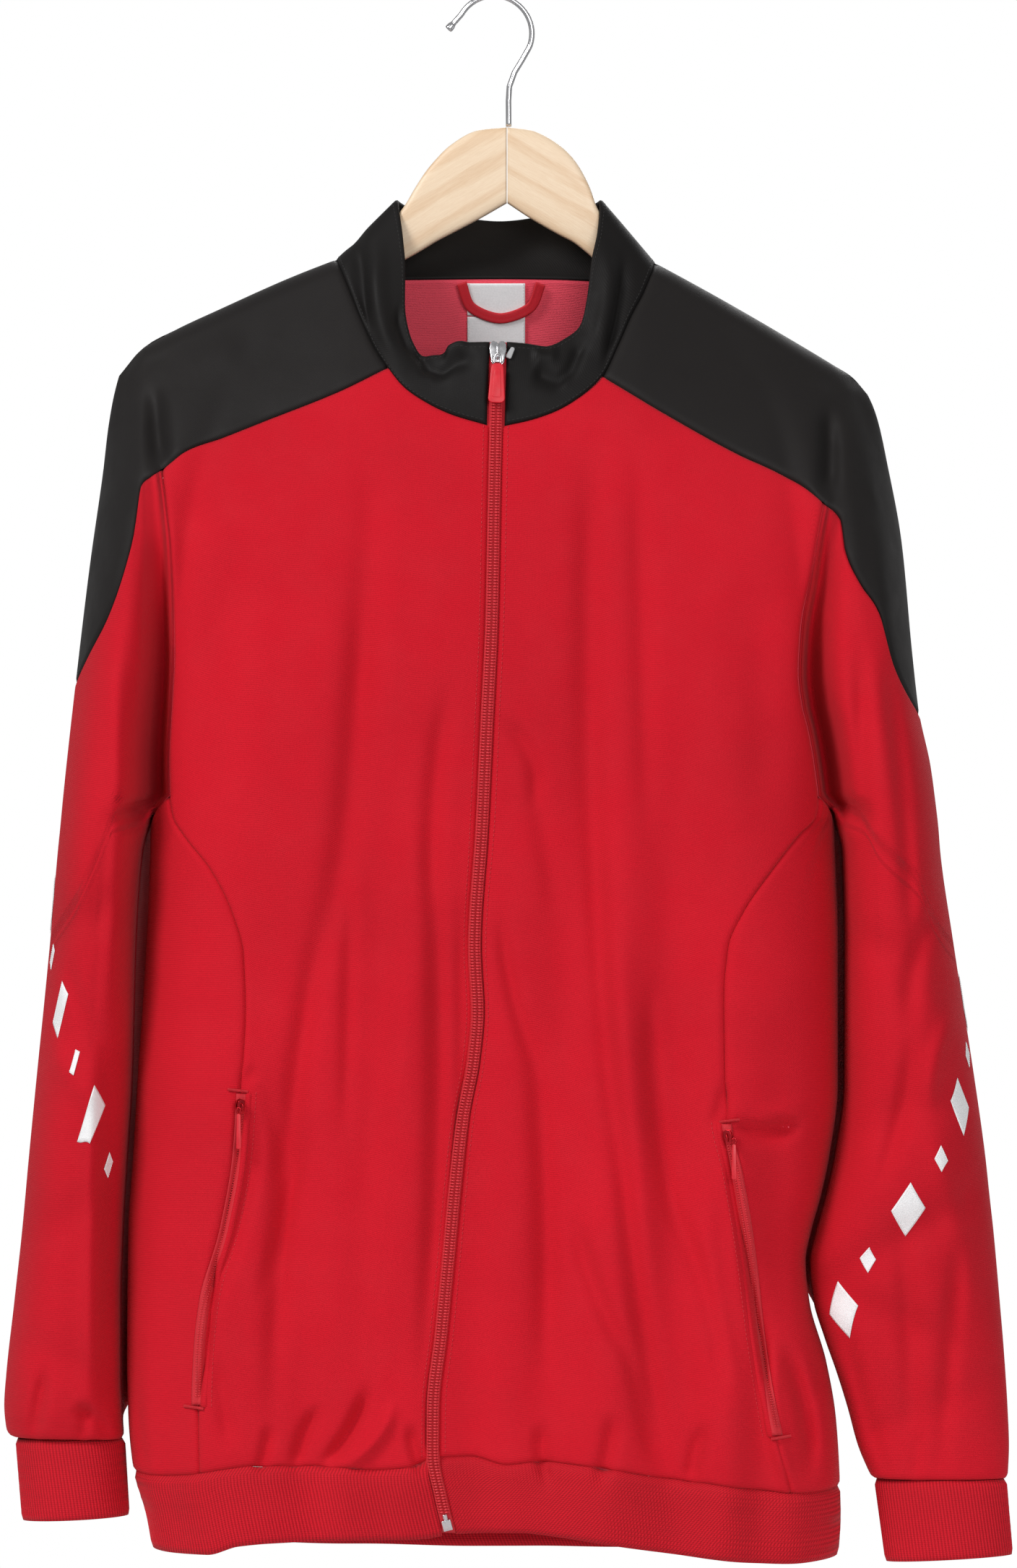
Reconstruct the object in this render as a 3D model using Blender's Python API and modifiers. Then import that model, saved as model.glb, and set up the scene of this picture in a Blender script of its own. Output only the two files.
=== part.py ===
"""Zip-front track jacket hung on a wooden hanger. Metres, +Z up, front towards -Y, hook bearing point at 0."""

import math

import bpy
import numpy as np

COLLECTION = "track_jacket_on_hanger"
MM = 0.001

# Cloth and seams, in millimetres
WALL = 1.6
RIB_WALL = 2.0
TAPE_WALL = 1.2
SEAM = 0.3
RIDGE_ROLL = 10.0
DRAPE = 140.0
SIDE_ROLL = 62.0
PIT_Z = -470.0
UNION = 8.0
MEETING = 0.9992

# Hanger and hook
WOOD_HALF = 6.0
WOOD_EDGE = 5.0
WIRE_RADIUS = 1.6
HOOK_RADIUS = 21.5
HOOK_CENTRE_Z = -19.9
HOOK_TIP = (-26.2, -17.6)

# Zip
ZIP_GAP = 5.0
ZIP_TAPE_HALF = 4.5
COIL_HALF = 2.7
COIL_HEIGHT = 1.8
SLIDER = (9.6, 4.2, 13.0)
PULL = (10.4, 1.6, 25.0)
POCKET_PULL = (3.4, 1.4, 24.0)
POCKET_HALF = 3.0


def table(columns, *rows):
    """A table as one array a column."""
    data = np.array(rows, float)
    return {name: data[:, i] for i, name in enumerate(columns.split())}


TORSO = {
    "right": table(
        "z edge front back",
        (-150, 206, 60, 50),
        (-204, 206, 62, 52),
        (-214, 210, 63, 53),
        (-243, 214, 65, 55),
        (-268, 213, 66, 56),
        (-320, 208, 70, 59),
        (-386, 201, 72, 61),
        (-430, 197.5, 72, 61),
        (-455, 196, 72, 61),
        (-470, 195, 72, 61),
        (-534, 197.2, 70, 60),
        (-616, 202.6, 68, 58),
        (-657, 205.0, 67, 57),
        (-698, 207.6, 66, 56),
        (-773, 208.3, 64, 55),
        (-805, 207.5, 62, 54),
        (-835, 204.5, 60, 52),
        (-861, 197.2, 57, 50),
        (-885, 193.1, 53, 47),
    ),
    "left": table(
        "z edge front back",
        (-150, 200, 60, 50),
        (-205, 200, 62, 52),
        (-215, 202.5, 63, 53),
        (-243, 213, 65, 55),
        (-268, 213, 66, 56),
        (-320, 207, 70, 59),
        (-386, 198, 72, 61),
        (-430, 195.5, 72, 61),
        (-455, 194.3, 72, 61),
        (-470, 193.3, 72, 61),
        (-534, 195.2, 70, 60),
        (-616, 195.2, 68, 58),
        (-657, 190.2, 67, 57),
        (-681, 185.0, 66.5, 56.5),
        (-698, 180.2, 66, 56),
        (-716, 176.8, 65.5, 56),
        (-739, 179.0, 65, 55.5),
        (-773, 188.5, 64, 55),
        (-805, 194.0, 62, 54),
        (-835, 196.0, 60, 52),
        (-861, 196.8, 57, 50),
        (-885, 195.2, 53, 47),
    ),
}

SLEEVE = {
    "right": table(
        "z inner outer half_depth",
        (-150, 120, 200, 54),
        (-204, 136, 206.6, 60),
        (-214, 142, 212.8, 62),
        (-243, 152, 218.9, 68),
        (-268, 160, 221.8, 71),
        (-321, 170, 229.2, 74),
        (-386, 178, 237.0, 74),
        (-430, 185, 242.0, 72),
        (-455, 190.5, 244.6, 71),
        (-470, 195.8, 246.0, 70),
        (-485, 199.6, 247.5, 69),
        (-534, 203.2, 251.7, 66),
        (-616, 205.4, 259.9, 60),
        (-657, 208.0, 263.9, 57),
        (-698, 210.4, 267.7, 54),
        (-739, 211.8, 272.2, 50),
        (-780, 211.8, 276.8, 44),
        (-798, 211.2, 278.0, 39),
        (-811, 210.4, 276.8, 33),
        (-817, 209.8, 273.4, 29),
    ),
    "left": table(
        "z inner outer half_depth",
        (-150, 120, 192, 54),
        (-205, 135, 197, 60),
        (-215, 142, 203.4, 62),
        (-224, 148, 211.6, 66),
        (-239, 154, 217.7, 69),
        (-263, 160, 223.0, 71),
        (-308, 166, 231.2, 74),
        (-370, 174, 237.0, 74),
        (-405, 179, 241.1, 73),
        (-435, 184.5, 247.5, 72),
        (-457, 189.5, 250.5, 71),
        (-470, 194.1, 252.0, 70),
        (-485, 197.4, 253.2, 69),
        (-534, 198.6, 260.3, 66),
        (-616, 198.4, 273.1, 60),
        (-657, 193.0, 278.8, 56),
        (-681, 187.6, 281.4, 53),
        (-698, 183.0, 283.3, 50),
        (-716, 179.2, 285.0, 47),
        (-739, 181.4, 287.0, 44),
        (-760, 187.6, 288.8, 40),
        (-780, 194.6, 290.3, 36),
        (-800, 200.8, 291.5, 31),
        (-821, 206.5, 292.3, 25),
        (-840, 214.5, 291.5, 20),
    ),
}

SEAMS = {
    "right": table(
        "z x",
        (-268, 186.8),
        (-289, 183.6),
        (-314, 181.1),
        (-342, 180.3),
        (-370, 180.3),
        (-403, 182.0),
        (-431, 183.6),
        (-452, 183.4),
        (-464, 181.6),
        (-474, 175.5),
        (-494, 159.3),
        (-517, 147.2),
        (-541, 140.3),
        (-573, 139.1),
        (-606, 140.7),
        (-654, 144.0),
        (-695, 151.2),
        (-735, 162.2),
        (-765, 165.4),
        (-794, 166.6),
        (-834, 166.0),
    ),
    "left": table(
        "z x",
        (-287, 185.4),
        (-308, 181.3),
        (-334, 177.2),
        (-358, 173.2),
        (-383, 171.9),
        (-401, 174.0),
        (-415, 177.6),
        (-435, 181.3),
        (-457, 183.8),
        (-464, 182.6),
        (-474, 172.5),
        (-494, 156.3),
        (-517, 140.1),
        (-537, 131.2),
        (-565, 128.8),
        (-598, 129.2),
        (-634, 130.0),
        (-662, 136.0),
        (-711, 144.2),
        (-759, 150.2),
        (-808, 158.3),
        (-845, 167.6),
    ),
}
PIT_TOP = -452.0
HEM_LEVEL = -832.0
CUFF_SEAM = {"right": -816.5, "left": -839.5}

SHOULDER = {
    "right": table(
        "ridge_x ridge_z front_x front_z back_x back_z",
        (89.0, -148.0, 59.7, -210.9, 60.0, -159.5),
        (116.4, -158.7, 88.0, -225.0, 92.0, -186.0),
        (157.4, -177.1, 128.0, -241.0, 128.0, -219.0),
        (177.9, -186.6, 152.0, -250.5, 150.0, -238.0),
        (198.4, -197.7, 172.0, -258.0, 171.0, -255.0),
        (212.8, -214.1, 186.8, -268.0, 186.8, -268.0),
    ),
    "left": table(
        "ridge_x ridge_z front_x front_z back_x back_z",
        (91.0, -150.0, 60.6, -216.1, 60.0, -160.0),
        (129.6, -171.0, 98.0, -238.5, 98.0, -195.0),
        (170.6, -194.8, 138.0, -260.5, 136.0, -232.0),
        (191.1, -207.1, 160.0, -270.5, 158.0, -255.0),
        (203.4, -214.9, 175.0, -279.5, 174.0, -273.0),
        (211.6, -224.3, 185.4, -287.0, 185.4, -287.0),
    ),
}

# The yoke's tongue down the sleeve: share of the way from armhole seam to outer edge
TONGUE = {
    "right": table(
        "share seam_z ridge_z",
        (0.0, -268.0, -214.1),
        (0.2, -273.0, -228.0),
        (0.34, -277.0, -243.0),
        (0.46, -309.0, -285.0),
        (0.68, -350.0, -330.0),
        (0.86, -371.0, -362.0),
        (1.0, -388.0, -387.4),
    ),
    "left": table(
        "share seam_z ridge_z",
        (0.0, -287.0, -224.3),
        (0.23, -297.0, -240.0),
        (0.31, -315.0, -268.0),
        (0.51, -334.0, -300.0),
        (0.69, -349.0, -328.0),
        (0.8, -378.0, -362.0),
        (0.9, -394.0, -385.0),
        (1.0, -406.0, -405.4),
    ),
}
TONGUE_END = 0.11

NECK_RIDGE = table("x z", (0, -141), (60, -142.5), (80, -145.2))

COLLAR = table(
    "base_x base_z top_x top_y top_z",
    (-4.0, -243.8, -2.6, -50, -197.0),
    (-24.0, -237.7, -19.0, -47, -197.4),
    (-38.0, -230.8, -31.0, -43, -204.0),
    (-50.3, -222.2, -40.0, -41, -203.5),
    (-59.7, -210.9, -47.5, -37, -191.0),
    (-67.4, -199.0, -50.0, -31, -175.0),
    (-74.7, -183.0, -50.0, -24, -155.0),
    (-80.8, -168.0, -52.0, -14, -133.0),
    (-89.0, -148.0, -55.0, 1, -114.0),
    (-79.0, -155.5, -51.0, 17, -116.0),
    (-60.0, -159.5, -42.0, 28, -121.0),
    (-30.0, -161.0, -23.0, 34, -126.0),
    (3.0, -161.5, 3.0, 36, -129.0),
    (32.0, -161.2, 28.0, 34, -126.0),
    (60.0, -160.0, 46.0, 28, -121.0),
    (80.0, -156.5, 56.0, 17, -116.0),
    (91.0, -150.0, 60.5, 1, -114.0),
    (83.8, -168.0, 59.0, -14, -131.0),
    (77.5, -180.0, 55.0, -24, -150.0),
    (69.5, -198.0, 52.5, -31, -170.0),
    (60.6, -216.1, 48.5, -37, -187.0),
    (47.2, -228.3, 40.3, -41, -194.5),
    (35.0, -235.6, 29.0, -45, -199.5),
    (20.8, -240.8, 18.8, -48, -198.0),
    (6.2, -244.2, 7.5, -50, -197.0),
)
ROW_SHOULDER_RIGHT, ROW_RIDGE_RIGHT, ROW_BACK_RIGHT = 4, 8, 10
ROW_BACK_LEFT, ROW_RIDGE_LEFT, ROW_SHOULDER_LEFT = 14, 16, 20

ZIP = table(
    "z x",
    (-197, 2.4),
    (-234, 1.4),
    (-290, 0.1),
    (-351, -1.1),
    (-411, -3.9),
    (-472, -6.8),
    (-537, -10.8),
    (-573, -9.2),
    (-601, -11.6),
    (-634, -17.7),
    (-674, -22.1),
    (-714, -25.8),
    (-755, -29.8),
    (-795, -34.2),
    (-820, -34.4),
    (-846, -29.8),
    (-866, -25.0),
)

HEM = table(
    "x seam bottom",
    (-206, -834.6, -878.0),
    (-190, -835.3, -879.0),
    (-172, -833.8, -879.1),
    (-153, -830.5, -874.0),
    (-134, -828.1, -872.2),
    (-100, -828.5, -871.0),
    (-67, -830.5, -870.2),
    (-48, -828.9, -869.6),
    (-31, -823.6, -867.0),
    (-12, -822.8, -866.2),
    (8, -827.7, -866.3),
    (25, -826.1, -868.0),
    (63, -829.7, -873.5),
    (91, -834.6, -877.5),
    (118, -838.2, -881.0),
    (146, -841.9, -883.6),
    (168, -844.5, -884.4),
    (197, -843.0, -882.0),
)

# Soft folds hanging down the body; a depth below nothing is a valley
FRONT_FOLDS = table(
    "top_x top_z low_x low_z width depth",
    (-72, -320, -58, -840, 17, -4.5),
    (-40, -420, -52, -900, 15, 4.0),
    (-20, -400, -8, -880, 15, -4.0),
    (52, -320, 26, -850, 17, -5.0),
    (76, -400, 62, -900, 18, 4.5),
    (98, -340, 104, -900, 17, -5.5),
    (-120, -560, -100, -900, 15, -5.0),
    (-150, -300, -158, -460, 14, -4.0),
    (146, -310, 152, -460, 14, -4.0),
    (132, -620, 128, -900, 14, 4.0),
    (162, -560, 148, -900, 13, -4.5),
    (-172, -620, -186, -900, 13, -4.0),
)
BACK_FOLDS = table(
    "top_x top_z low_x low_z width depth",
    (-118, -260, -96, -900, 20, -5.0),
    (-52, -330, -66, -900, 18, 4.0),
    (-12, -300, -22, -900, 20, -5.5),
    (40, -420, 30, -900, 17, 4.0),
    (84, -280, 70, -900, 20, -5.5),
    (140, -480, 126, -900, 16, -4.5),
    (-160, -560, -150, -900, 15, 4.0),
)
SLEEVE_FOLDS = table(
    "side at_z slope width depth",
    (-1, -520, 0.5, 13, -3.5),
    (-1, -590, -0.6, 15, -3.5),
    (-1, -688, 0.5, 14, -3.0),
    (-1, -770, -0.4, 12, -2.6),
    (1, -545, -0.5, 13, -3.5),
    (1, -628, 0.4, 15, -4.0),
    (1, -700, 0.6, 14, -4.5),
    (1, -752, -0.5, 13, -4.0),
    (1, -800, 0.4, 11, -2.6),
)

WOOD = {
    "right": table(
        "x top bottom",
        (7.2, -73.2, -116.2),
        (-9.0, -74.9, -125.5),
        (-24.2, -82.9, -133.5),
        (-32.8, -91.1, -138.0),
        (-39.4, -99.2, -142.0),
        (-45.1, -108.0, -145.3),
        (-51.0, -118.0, -148.5),
        (-60.0, -128.6, -153.0),
        (-72.0, -139.2, -160.0),
        (-89.0, -152.0, -169.0),
        (-116.4, -162.0, -182.0),
        (-157.4, -179.9, -202.0),
        (-180.0, -190.4, -212.0),
        (-194.0, -198.2, -216.0),
    ),
    "left": table(
        "x top bottom",
        (7.6, -73.2, -116.2),
        (20.9, -74.9, -125.0),
        (36.5, -82.9, -134.0),
        (45.1, -91.1, -138.5),
        (50.4, -99.2, -142.5),
        (54.6, -108.0, -146.0),
        (58.6, -119.0, -150.0),
        (67.0, -129.6, -155.0),
        (78.0, -140.5, -163.0),
        (91.0, -153.6, -171.0),
        (129.6, -174.0, -194.0),
        (165.0, -194.2, -216.0),
        (180.0, -203.2, -222.0),
        (190.0, -210.0, -224.0),
    ),
}

HOOK_STEM = table(
    "x z",
    (8.3, -72.7),
    (8.2, -58.0),
    (8.7, -50.0),
    (11.6, -42.0),
    (16.0, -34.8),
    (19.6, -28.4),
)

COLOURS = {
    "red": (0.63, 0.012, 0.026, 1.0),
    "red_inside": (0.66, 0.032, 0.054, 1.0),
    "black": (0.021, 0.018, 0.017, 1.0),
    "white": (0.83, 0.83, 0.84, 1.0),
    "wood": (0.86, 0.66, 0.47, 1.0),
    "steel": (0.55, 0.55, 0.56, 1.0),
}


def curve(rows, start, end, at):
    """Smooth line through a table's rows that never overshoots them."""
    x = rows[start]
    y = rows[end]
    if x[0] > x[-1]:
        x = x[::-1]
        y = y[::-1]
    step = np.diff(x)
    rise = np.diff(y) / step
    same = rise[1:] * rise[:-1] > 0
    total = np.where(same, rise[1:] + rise[:-1], 1.0)
    slope = np.concatenate([rise[:1], np.where(same, 2 * rise[1:] * rise[:-1] / total, 0.0), rise[-1:]])
    at = np.clip(at, x[0], x[-1])
    k = np.clip(np.searchsorted(x, at, side="right") - 1, 0, len(x) - 2)
    t = (at - x[k]) / step[k]
    a = y[k] * (1 + 2 * t) * (1 - t) ** 2 + y[k + 1] * t * t * (3 - 2 * t)
    return a + step[k] * t * (1 - t) * (slope[k] * (1 - t) - slope[k + 1] * t)


def mix(a, b, t):
    return a + (b - a) * t


def quarter(t):
    """Quarter circle: upright at 0, level from 1 on."""
    return np.sqrt(np.clip(1 - (1 - np.clip(t, 0, 1)) ** 2, 0, 1))


def by_side(x, right, left):
    return np.where(x < 0, right, left)


def ridge_z(x):
    """Height of the shoulder line over each x."""
    out = []
    for side in ("right", "left"):
        rows = SHOULDER[side]
        line = {
            "x": np.concatenate([NECK_RIDGE["x"], rows["ridge_x"][:-1]]),
            "z": np.concatenate([NECK_RIDGE["z"], rows["ridge_z"][:-1]]),
        }
        last = line["x"][-1]
        fall = np.maximum(np.abs(x) - last, 0)
        out.append(curve(line, "x", "z", np.abs(x)) - 0.9 * fall)
    return by_side(x, out[0], out[1])


def fold_depth(folds, x, z):
    total = np.zeros_like(x)
    for i in range(len(folds["width"])):
        t = (folds["top_z"][i] - z) / (folds["top_z"][i] - folds["low_z"][i])
        centre = mix(folds["top_x"][i], folds["low_x"][i], np.clip(t, 0, 1))
        fade = np.clip(t / 0.35, 0, 1) ** 2 * (3 - 2 * np.clip(t / 0.35, 0, 1))
        fade = fade * np.clip((1.15 - t) / 0.3, 0, 1)
        total = total + folds["depth"][i] * fade * np.exp(-(((x - centre) / folds["width"][i]) ** 2))
    return total


def sleeve_fold_depth(x, z, centre):
    total = np.zeros_like(x)
    for i in range(len(SLEEVE_FOLDS["side"])):
        line = SLEEVE_FOLDS["at_z"][i] + SLEEVE_FOLDS["slope"][i] * (x - centre)
        here = np.sign(x) == SLEEVE_FOLDS["side"][i]
        bump = np.exp(-(((z - line) / SLEEVE_FOLDS["width"][i]) ** 2))
        total = total + np.where(here, SLEEVE_FOLDS["depth"][i] * bump, 0.0)
    return total


def cloth_depth(x, z, face):
    """Distance of the cloth's outer face from the hanging plane, in front (-1) or behind (1)."""
    below = np.maximum(ridge_z(x) - z, 0)
    roll = RIDGE_ROLL * quarter(below / RIDGE_ROLL)
    fall = np.sin(np.pi / 2 * np.clip(below / DRAPE, 0, 1))
    out = np.abs(x)
    edge = by_side(x, *(curve(TORSO[s], "z", "edge", z) for s in ("right", "left")))
    column = "front" if face < 0 else "back"
    full = by_side(x, *(curve(TORSO[s], "z", column, z) for s in ("right", "left")))
    inside = np.maximum(edge - out, 0)
    body = roll * quarter(inside / RIDGE_ROLL) + (full - RIDGE_ROLL) * fall * quarter(inside / SIDE_ROLL)
    inner = by_side(x, *(curve(SLEEVE[s], "z", "inner", z) for s in ("right", "left")))
    outer = by_side(x, *(curve(SLEEVE[s], "z", "outer", z) for s in ("right", "left")))
    deep = by_side(x, *(curve(SLEEVE[s], "z", "half_depth", z) for s in ("right", "left")))
    off = (out - (inner + outer) / 2) / ((outer - inner) / 2)
    round_arm = np.sqrt(np.clip(1 - off * off, 0, 1))
    arm = (roll + (deep - RIDGE_ROLL) * fall) * round_arm
    folds = fold_depth(FRONT_FOLDS if face < 0 else BACK_FOLDS, x, z)
    body = body + folds * np.clip(body / 45, 0, 1) ** 2
    centre = by_side(x, -(inner + outer) / 2, (inner + outer) / 2)
    arm = arm + sleeve_fold_depth(x, z, centre) * np.clip(arm / 40, 0, 1)
    low = np.minimum(body, arm)
    high = np.maximum(body, arm)
    share = low / np.maximum(high, 1e-9)
    return high * (1 + share**UNION) ** (1 / UNION)


def cloth(x, z, face):
    return np.stack([x, face * cloth_depth(x, z, face), z], axis=-1)


def zip_x(z):
    return curve(ZIP, "z", "x", z)


def hem_z(x, face, column):
    if face < 0:
        return curve(HEM, "x", column, x)
    ends = HEM[column][0], HEM[column][-1]
    return mix(ends[0], ends[1], np.clip((x + 206) / 403, 0, 1)) - 2.0 * np.sin(np.pi * (x + 206) / 403)


def neck(row, column):
    rows = {"row": np.arange(len(COLLAR["base_x"]), dtype=float), "value": COLLAR[column]}
    return curve(rows, "row", "value", row)


NECK_ROWS = np.linspace(0, len(COLLAR["base_x"]) - 1, 481)
NECK_X = neck(NECK_ROWS, "base_x")
NECK_Z = neck(NECK_ROWS, "base_z")


def top_seam_z(x, face, side):
    """Neck seam, then yoke seam, over each x of a front or back panel."""
    sign = -1 if side == "right" else 1
    rows = SHOULDER[side]
    column = "front" if face < 0 else "back"
    yoke = {"x": rows[column + "_x"], "z": rows[column + "_z"]}
    corner = yoke["x"][0]
    if face < 0:
        pick = NECK_ROWS <= ROW_SHOULDER_RIGHT if side == "right" else NECK_ROWS >= ROW_SHOULDER_LEFT
    else:
        pick = (NECK_ROWS >= ROW_BACK_RIGHT) & (NECK_ROWS <= ROW_BACK_LEFT)
    line_x = NECK_X[pick]
    line_z = NECK_Z[pick]
    order = np.argsort(line_x)
    at_neck = np.interp(x, line_x[order], line_z[order])
    return np.where(sign * x < corner, at_neck, curve(yoke, "x", "z", np.maximum(sign * x, corner)))


def seam_x(z, side):
    return curve(SEAMS[side], "z", "x", z)


def armhole_x(z, side):
    """The armhole seam, turning out to the underarm at its foot."""
    top = PIT_TOP
    foot = np.clip((z - PIT_Z) / (top - PIT_Z), 0, 1) ** 2
    low = mix(curve(TORSO[side], "z", "edge", z), seam_x(z, side), foot)
    return np.where(z > top, seam_x(z, side), low)


def make_mesh(name, points, faces, colour):
    mesh = bpy.data.meshes.new(name)
    mesh.from_pydata([tuple(p) for p in np.asarray(points) * MM], [], faces)
    mesh.validate()
    thing = bpy.data.objects.new(name, mesh)
    return finish(thing, colour)


def finish(thing, colour):
    material = bpy.data.materials.new(thing.name)
    material.use_nodes = True
    shader = material.node_tree.nodes["Principled BSDF"]
    shader.inputs["Base Color"].default_value = COLOURS[colour]
    shader.inputs["Roughness"].default_value = 0.35 if colour == "steel" else 0.8
    shader.inputs["Metallic"].default_value = 1.0 if colour == "steel" else 0.0
    thing.data.materials.append(material)
    COLLECTED.objects.link(thing)
    return thing


def normals_of(surface, s, t, ends=None):
    """Outward direction of a surface at each of its points, taken just inside its ends."""
    step = 1e-3
    if ends:
        s = np.clip(s, ends[0] + step, ends[1] - step)
        t = np.clip(t, ends[2] + step, ends[3] - step)
    across = surface(s + step, t) - surface(s - step, t)
    along = surface(s, t + step) - surface(s, t - step)
    normal = np.cross(across, along)
    size = np.linalg.norm(normal, axis=-1, keepdims=True)
    return normal / np.maximum(size, 1e-12)


def panel(name, surface, s_values, t_values, colour, wall=WALL, lift=0.0, closed=False, flip=False):
    """A cloth wall on surface(s, t), its outer face moved out by lift."""
    s, t = np.meshgrid(s_values, t_values, indexing="ij")
    ends = None if closed else (s.min(), s.max(), t.min(), t.max())
    normal = normals_of(surface, s, t, ends)
    if flip:
        normal = -normal
    outer = surface(s, t) + normal * lift
    inner = outer - normal * wall
    m, n = s.shape
    index = np.arange(m * n).reshape(m, n)
    faces = []
    columns = m if closed else m - 1
    for i in range(columns):
        k = (i + 1) % m
        for j in range(n - 1):
            quad = (index[i, j], index[k, j], index[k, j + 1], index[i, j + 1])
            faces.append(quad)
            faces.append(tuple(m * n + q for q in reversed(quad)))
    rim = []
    for i in range(columns):
        k = (i + 1) % m
        rim.append((index[k, 0], index[i, 0]))
        rim.append((index[i, n - 1], index[k, n - 1]))
    if not closed:
        for j in range(n - 1):
            rim.append((index[0, j], index[0, j + 1]))
            rim.append((index[m - 1, j + 1], index[m - 1, j]))
    for a, b in rim:
        faces.append((a, b, m * n + b, m * n + a))
    faces = [tuple(int(q) for q in face) for face in faces]
    if flip:
        faces = [face[::-1] for face in faces]
    points = np.concatenate([outer.reshape(-1, 3), inner.reshape(-1, 3)])
    return make_mesh(name, points, faces, colour)


def climb(low, high, t):
    """Height at t: 0 at the hem seam, 1 level with the armhole's foot, 2 at the top seam."""
    return np.where(t <= 1, mix(low, PIT_TOP, t), mix(PIT_TOP, high, t - 1))


def front_surface(side):
    sign = -1 if side == "right" else 1

    def surface(s, t):
        """s from the zip to the side seam, t climbing from the hem seam."""
        low_x = mix(zip_x(HEM_LEVEL) + sign * ZIP_GAP, sign * (seam_x(HEM_LEVEL, side) - SEAM / 2), s)
        high_x = mix(1.0 + sign * ZIP_GAP, sign * (SEAMS[side]["x"][0] - SEAM / 2), s)
        low = hem_z(low_x, -1, "seam") + SEAM / 2
        high = top_seam_z(high_x, -1, side) - SEAM / 2
        z = climb(low, high, t)
        x = mix(zip_x(z) + sign * ZIP_GAP, sign * (seam_x(z, side) - SEAM), s)
        return cloth(x, z, -1)

    return surface


def back_surface(s, t):
    """s from -1 at the right side seam to 1 at the left, t climbing from the hem seam."""
    share = (s + 1) / 2
    low_x = mix(-seam_x(HEM_LEVEL, "right") + SEAM / 2, seam_x(HEM_LEVEL, "left") - SEAM / 2, share)
    high_x = mix(-SEAMS["right"]["x"][0] + SEAM / 2, SEAMS["left"]["x"][0] - SEAM / 2, share)
    low = hem_z(low_x, 1, "seam") + SEAM / 2
    high = by_side(high_x, top_seam_z(high_x, 1, "right"), top_seam_z(high_x, 1, "left")) - SEAM
    z = climb(low, high, t)
    x = mix(-seam_x(z, "right") + SEAM, seam_x(z, "left") - SEAM, share)
    return cloth(x, z, 1)


def side_surface(side):
    sign = -1 if side == "right" else 1

    def surface(s, t):
        """s from -1 at the front seam round the side to 1 at the back seam."""
        turn = 1 - np.cos(np.pi / 2 * np.abs(s))
        top = mix(PIT_Z, PIT_TOP, np.sqrt(np.clip(turn, 0, 1))) - 1.6 * SEAM
        low_x = sign * mix(curve(TORSO[side], "z", "edge", HEM_LEVEL), seam_x(HEM_LEVEL, side), turn)
        low = by_side(s, hem_z(low_x, -1, "seam"), hem_z(low_x, 1, "seam")) + SEAM / 2
        z = mix(low, top, t)
        edge = curve(TORSO[side], "z", "edge", z)
        x = sign * mix(edge, seam_x(z, side) + SEAM / 2, turn)
        y = by_side(s, -cloth_depth(x, z, -1), cloth_depth(x, z, 1))
        return np.stack([x, y, z], axis=-1)

    return surface


def sleeve_xz(side, s, z):
    """x at a share s round the sleeve: 0 outside, 1 at the armhole or inner seam."""
    turn = (1 - np.cos(np.pi * np.abs(s) * MEETING)) / 2
    inner = np.where(z > PIT_Z, armhole_x(z, side) + 1.6 * SEAM, curve(SLEEVE[side], "z", "inner", z))
    return mix(curve(SLEEVE[side], "z", "outer", z), inner, turn)


def sleeve_surface(side):
    sign = -1 if side == "right" else 1

    def surface(s, t):
        share = (1 + np.cos(np.pi * np.abs(s))) / 2
        top = curve(TONGUE[side], "share", "seam_z", share + 0.004) - SEAM
        z = mix(CUFF_SEAM[side] + SEAM / 2, top, t)
        x = sign * sleeve_xz(side, s, z)
        y = by_side(s, -cloth_depth(x, z, -1), cloth_depth(x, z, 1))
        return np.stack([x, y, z], axis=-1)

    return surface


def yoke_surface(side):
    sign = -1 if side == "right" else 1
    rows = SHOULDER[side]
    tongue = TONGUE[side]
    body = {"k": np.linspace(0, 1, len(rows["ridge_x"]))}
    body.update(rows)

    def station(u, face):
        """Ridge point and seam point at u (0 to 1 on the shoulder, 2 at the tongue's tip), as outward x and z."""
        on_arm = u > 1
        share = (1 + np.cos(np.pi * mix(1.0, TONGUE_END, np.clip(u - 1, 0, 1)))) / 2
        ridge_here = curve(tongue, "share", "ridge_z", share)
        rx = np.where(on_arm, curve(SLEEVE[side], "z", "outer", ridge_here), curve(body, "k", "ridge_x", u))
        rz = np.where(on_arm, ridge_here, curve(body, "k", "ridge_z", u))
        arm_z = curve(tongue, "share", "seam_z", share - 0.004)
        arm_x = mix(armhole_x(arm_z, side) + 1.6 * SEAM, curve(SLEEVE[side], "z", "outer", arm_z), share)
        name = "front" if face < 0 else "back"
        sx = np.where(on_arm, arm_x, curve(body, "k", name + "_x", u))
        sz = np.where(on_arm, arm_z, curve(body, "k", name + "_z", u))
        return rx, rz, sx, sz + SEAM / 2

    def half(u, v, face):
        rx, rz, sx, sz = station(u, face)
        share = np.abs(v) ** 1.6
        if side == "right":
            row = mix(ROW_RIDGE_RIGHT, ROW_SHOULDER_RIGHT if face < 0 else ROW_BACK_RIGHT, share)
        else:
            row = mix(ROW_RIDGE_LEFT, ROW_SHOULDER_LEFT if face < 0 else ROW_BACK_LEFT, share)
        hold = np.clip(1 - u * 5, 0, 1) ** 2
        zero = np.zeros_like(u)
        r0, q0, s0, w0 = station(zero, face)
        x = mix(rx, sx, share) + hold * (np.abs(neck(row, "base_x")) - mix(r0, s0, share) + SEAM / 2)
        z = mix(rz, sz, share) + hold * (neck(row, "base_z") - mix(q0, w0 - SEAM / 2, share))
        return cloth(sign * x, z, face)

    def surface(u, v):
        front = half(u, v, -1)
        back = half(u, v, 1)
        return np.where((v < 0)[..., None], front, back)

    return surface


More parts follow.
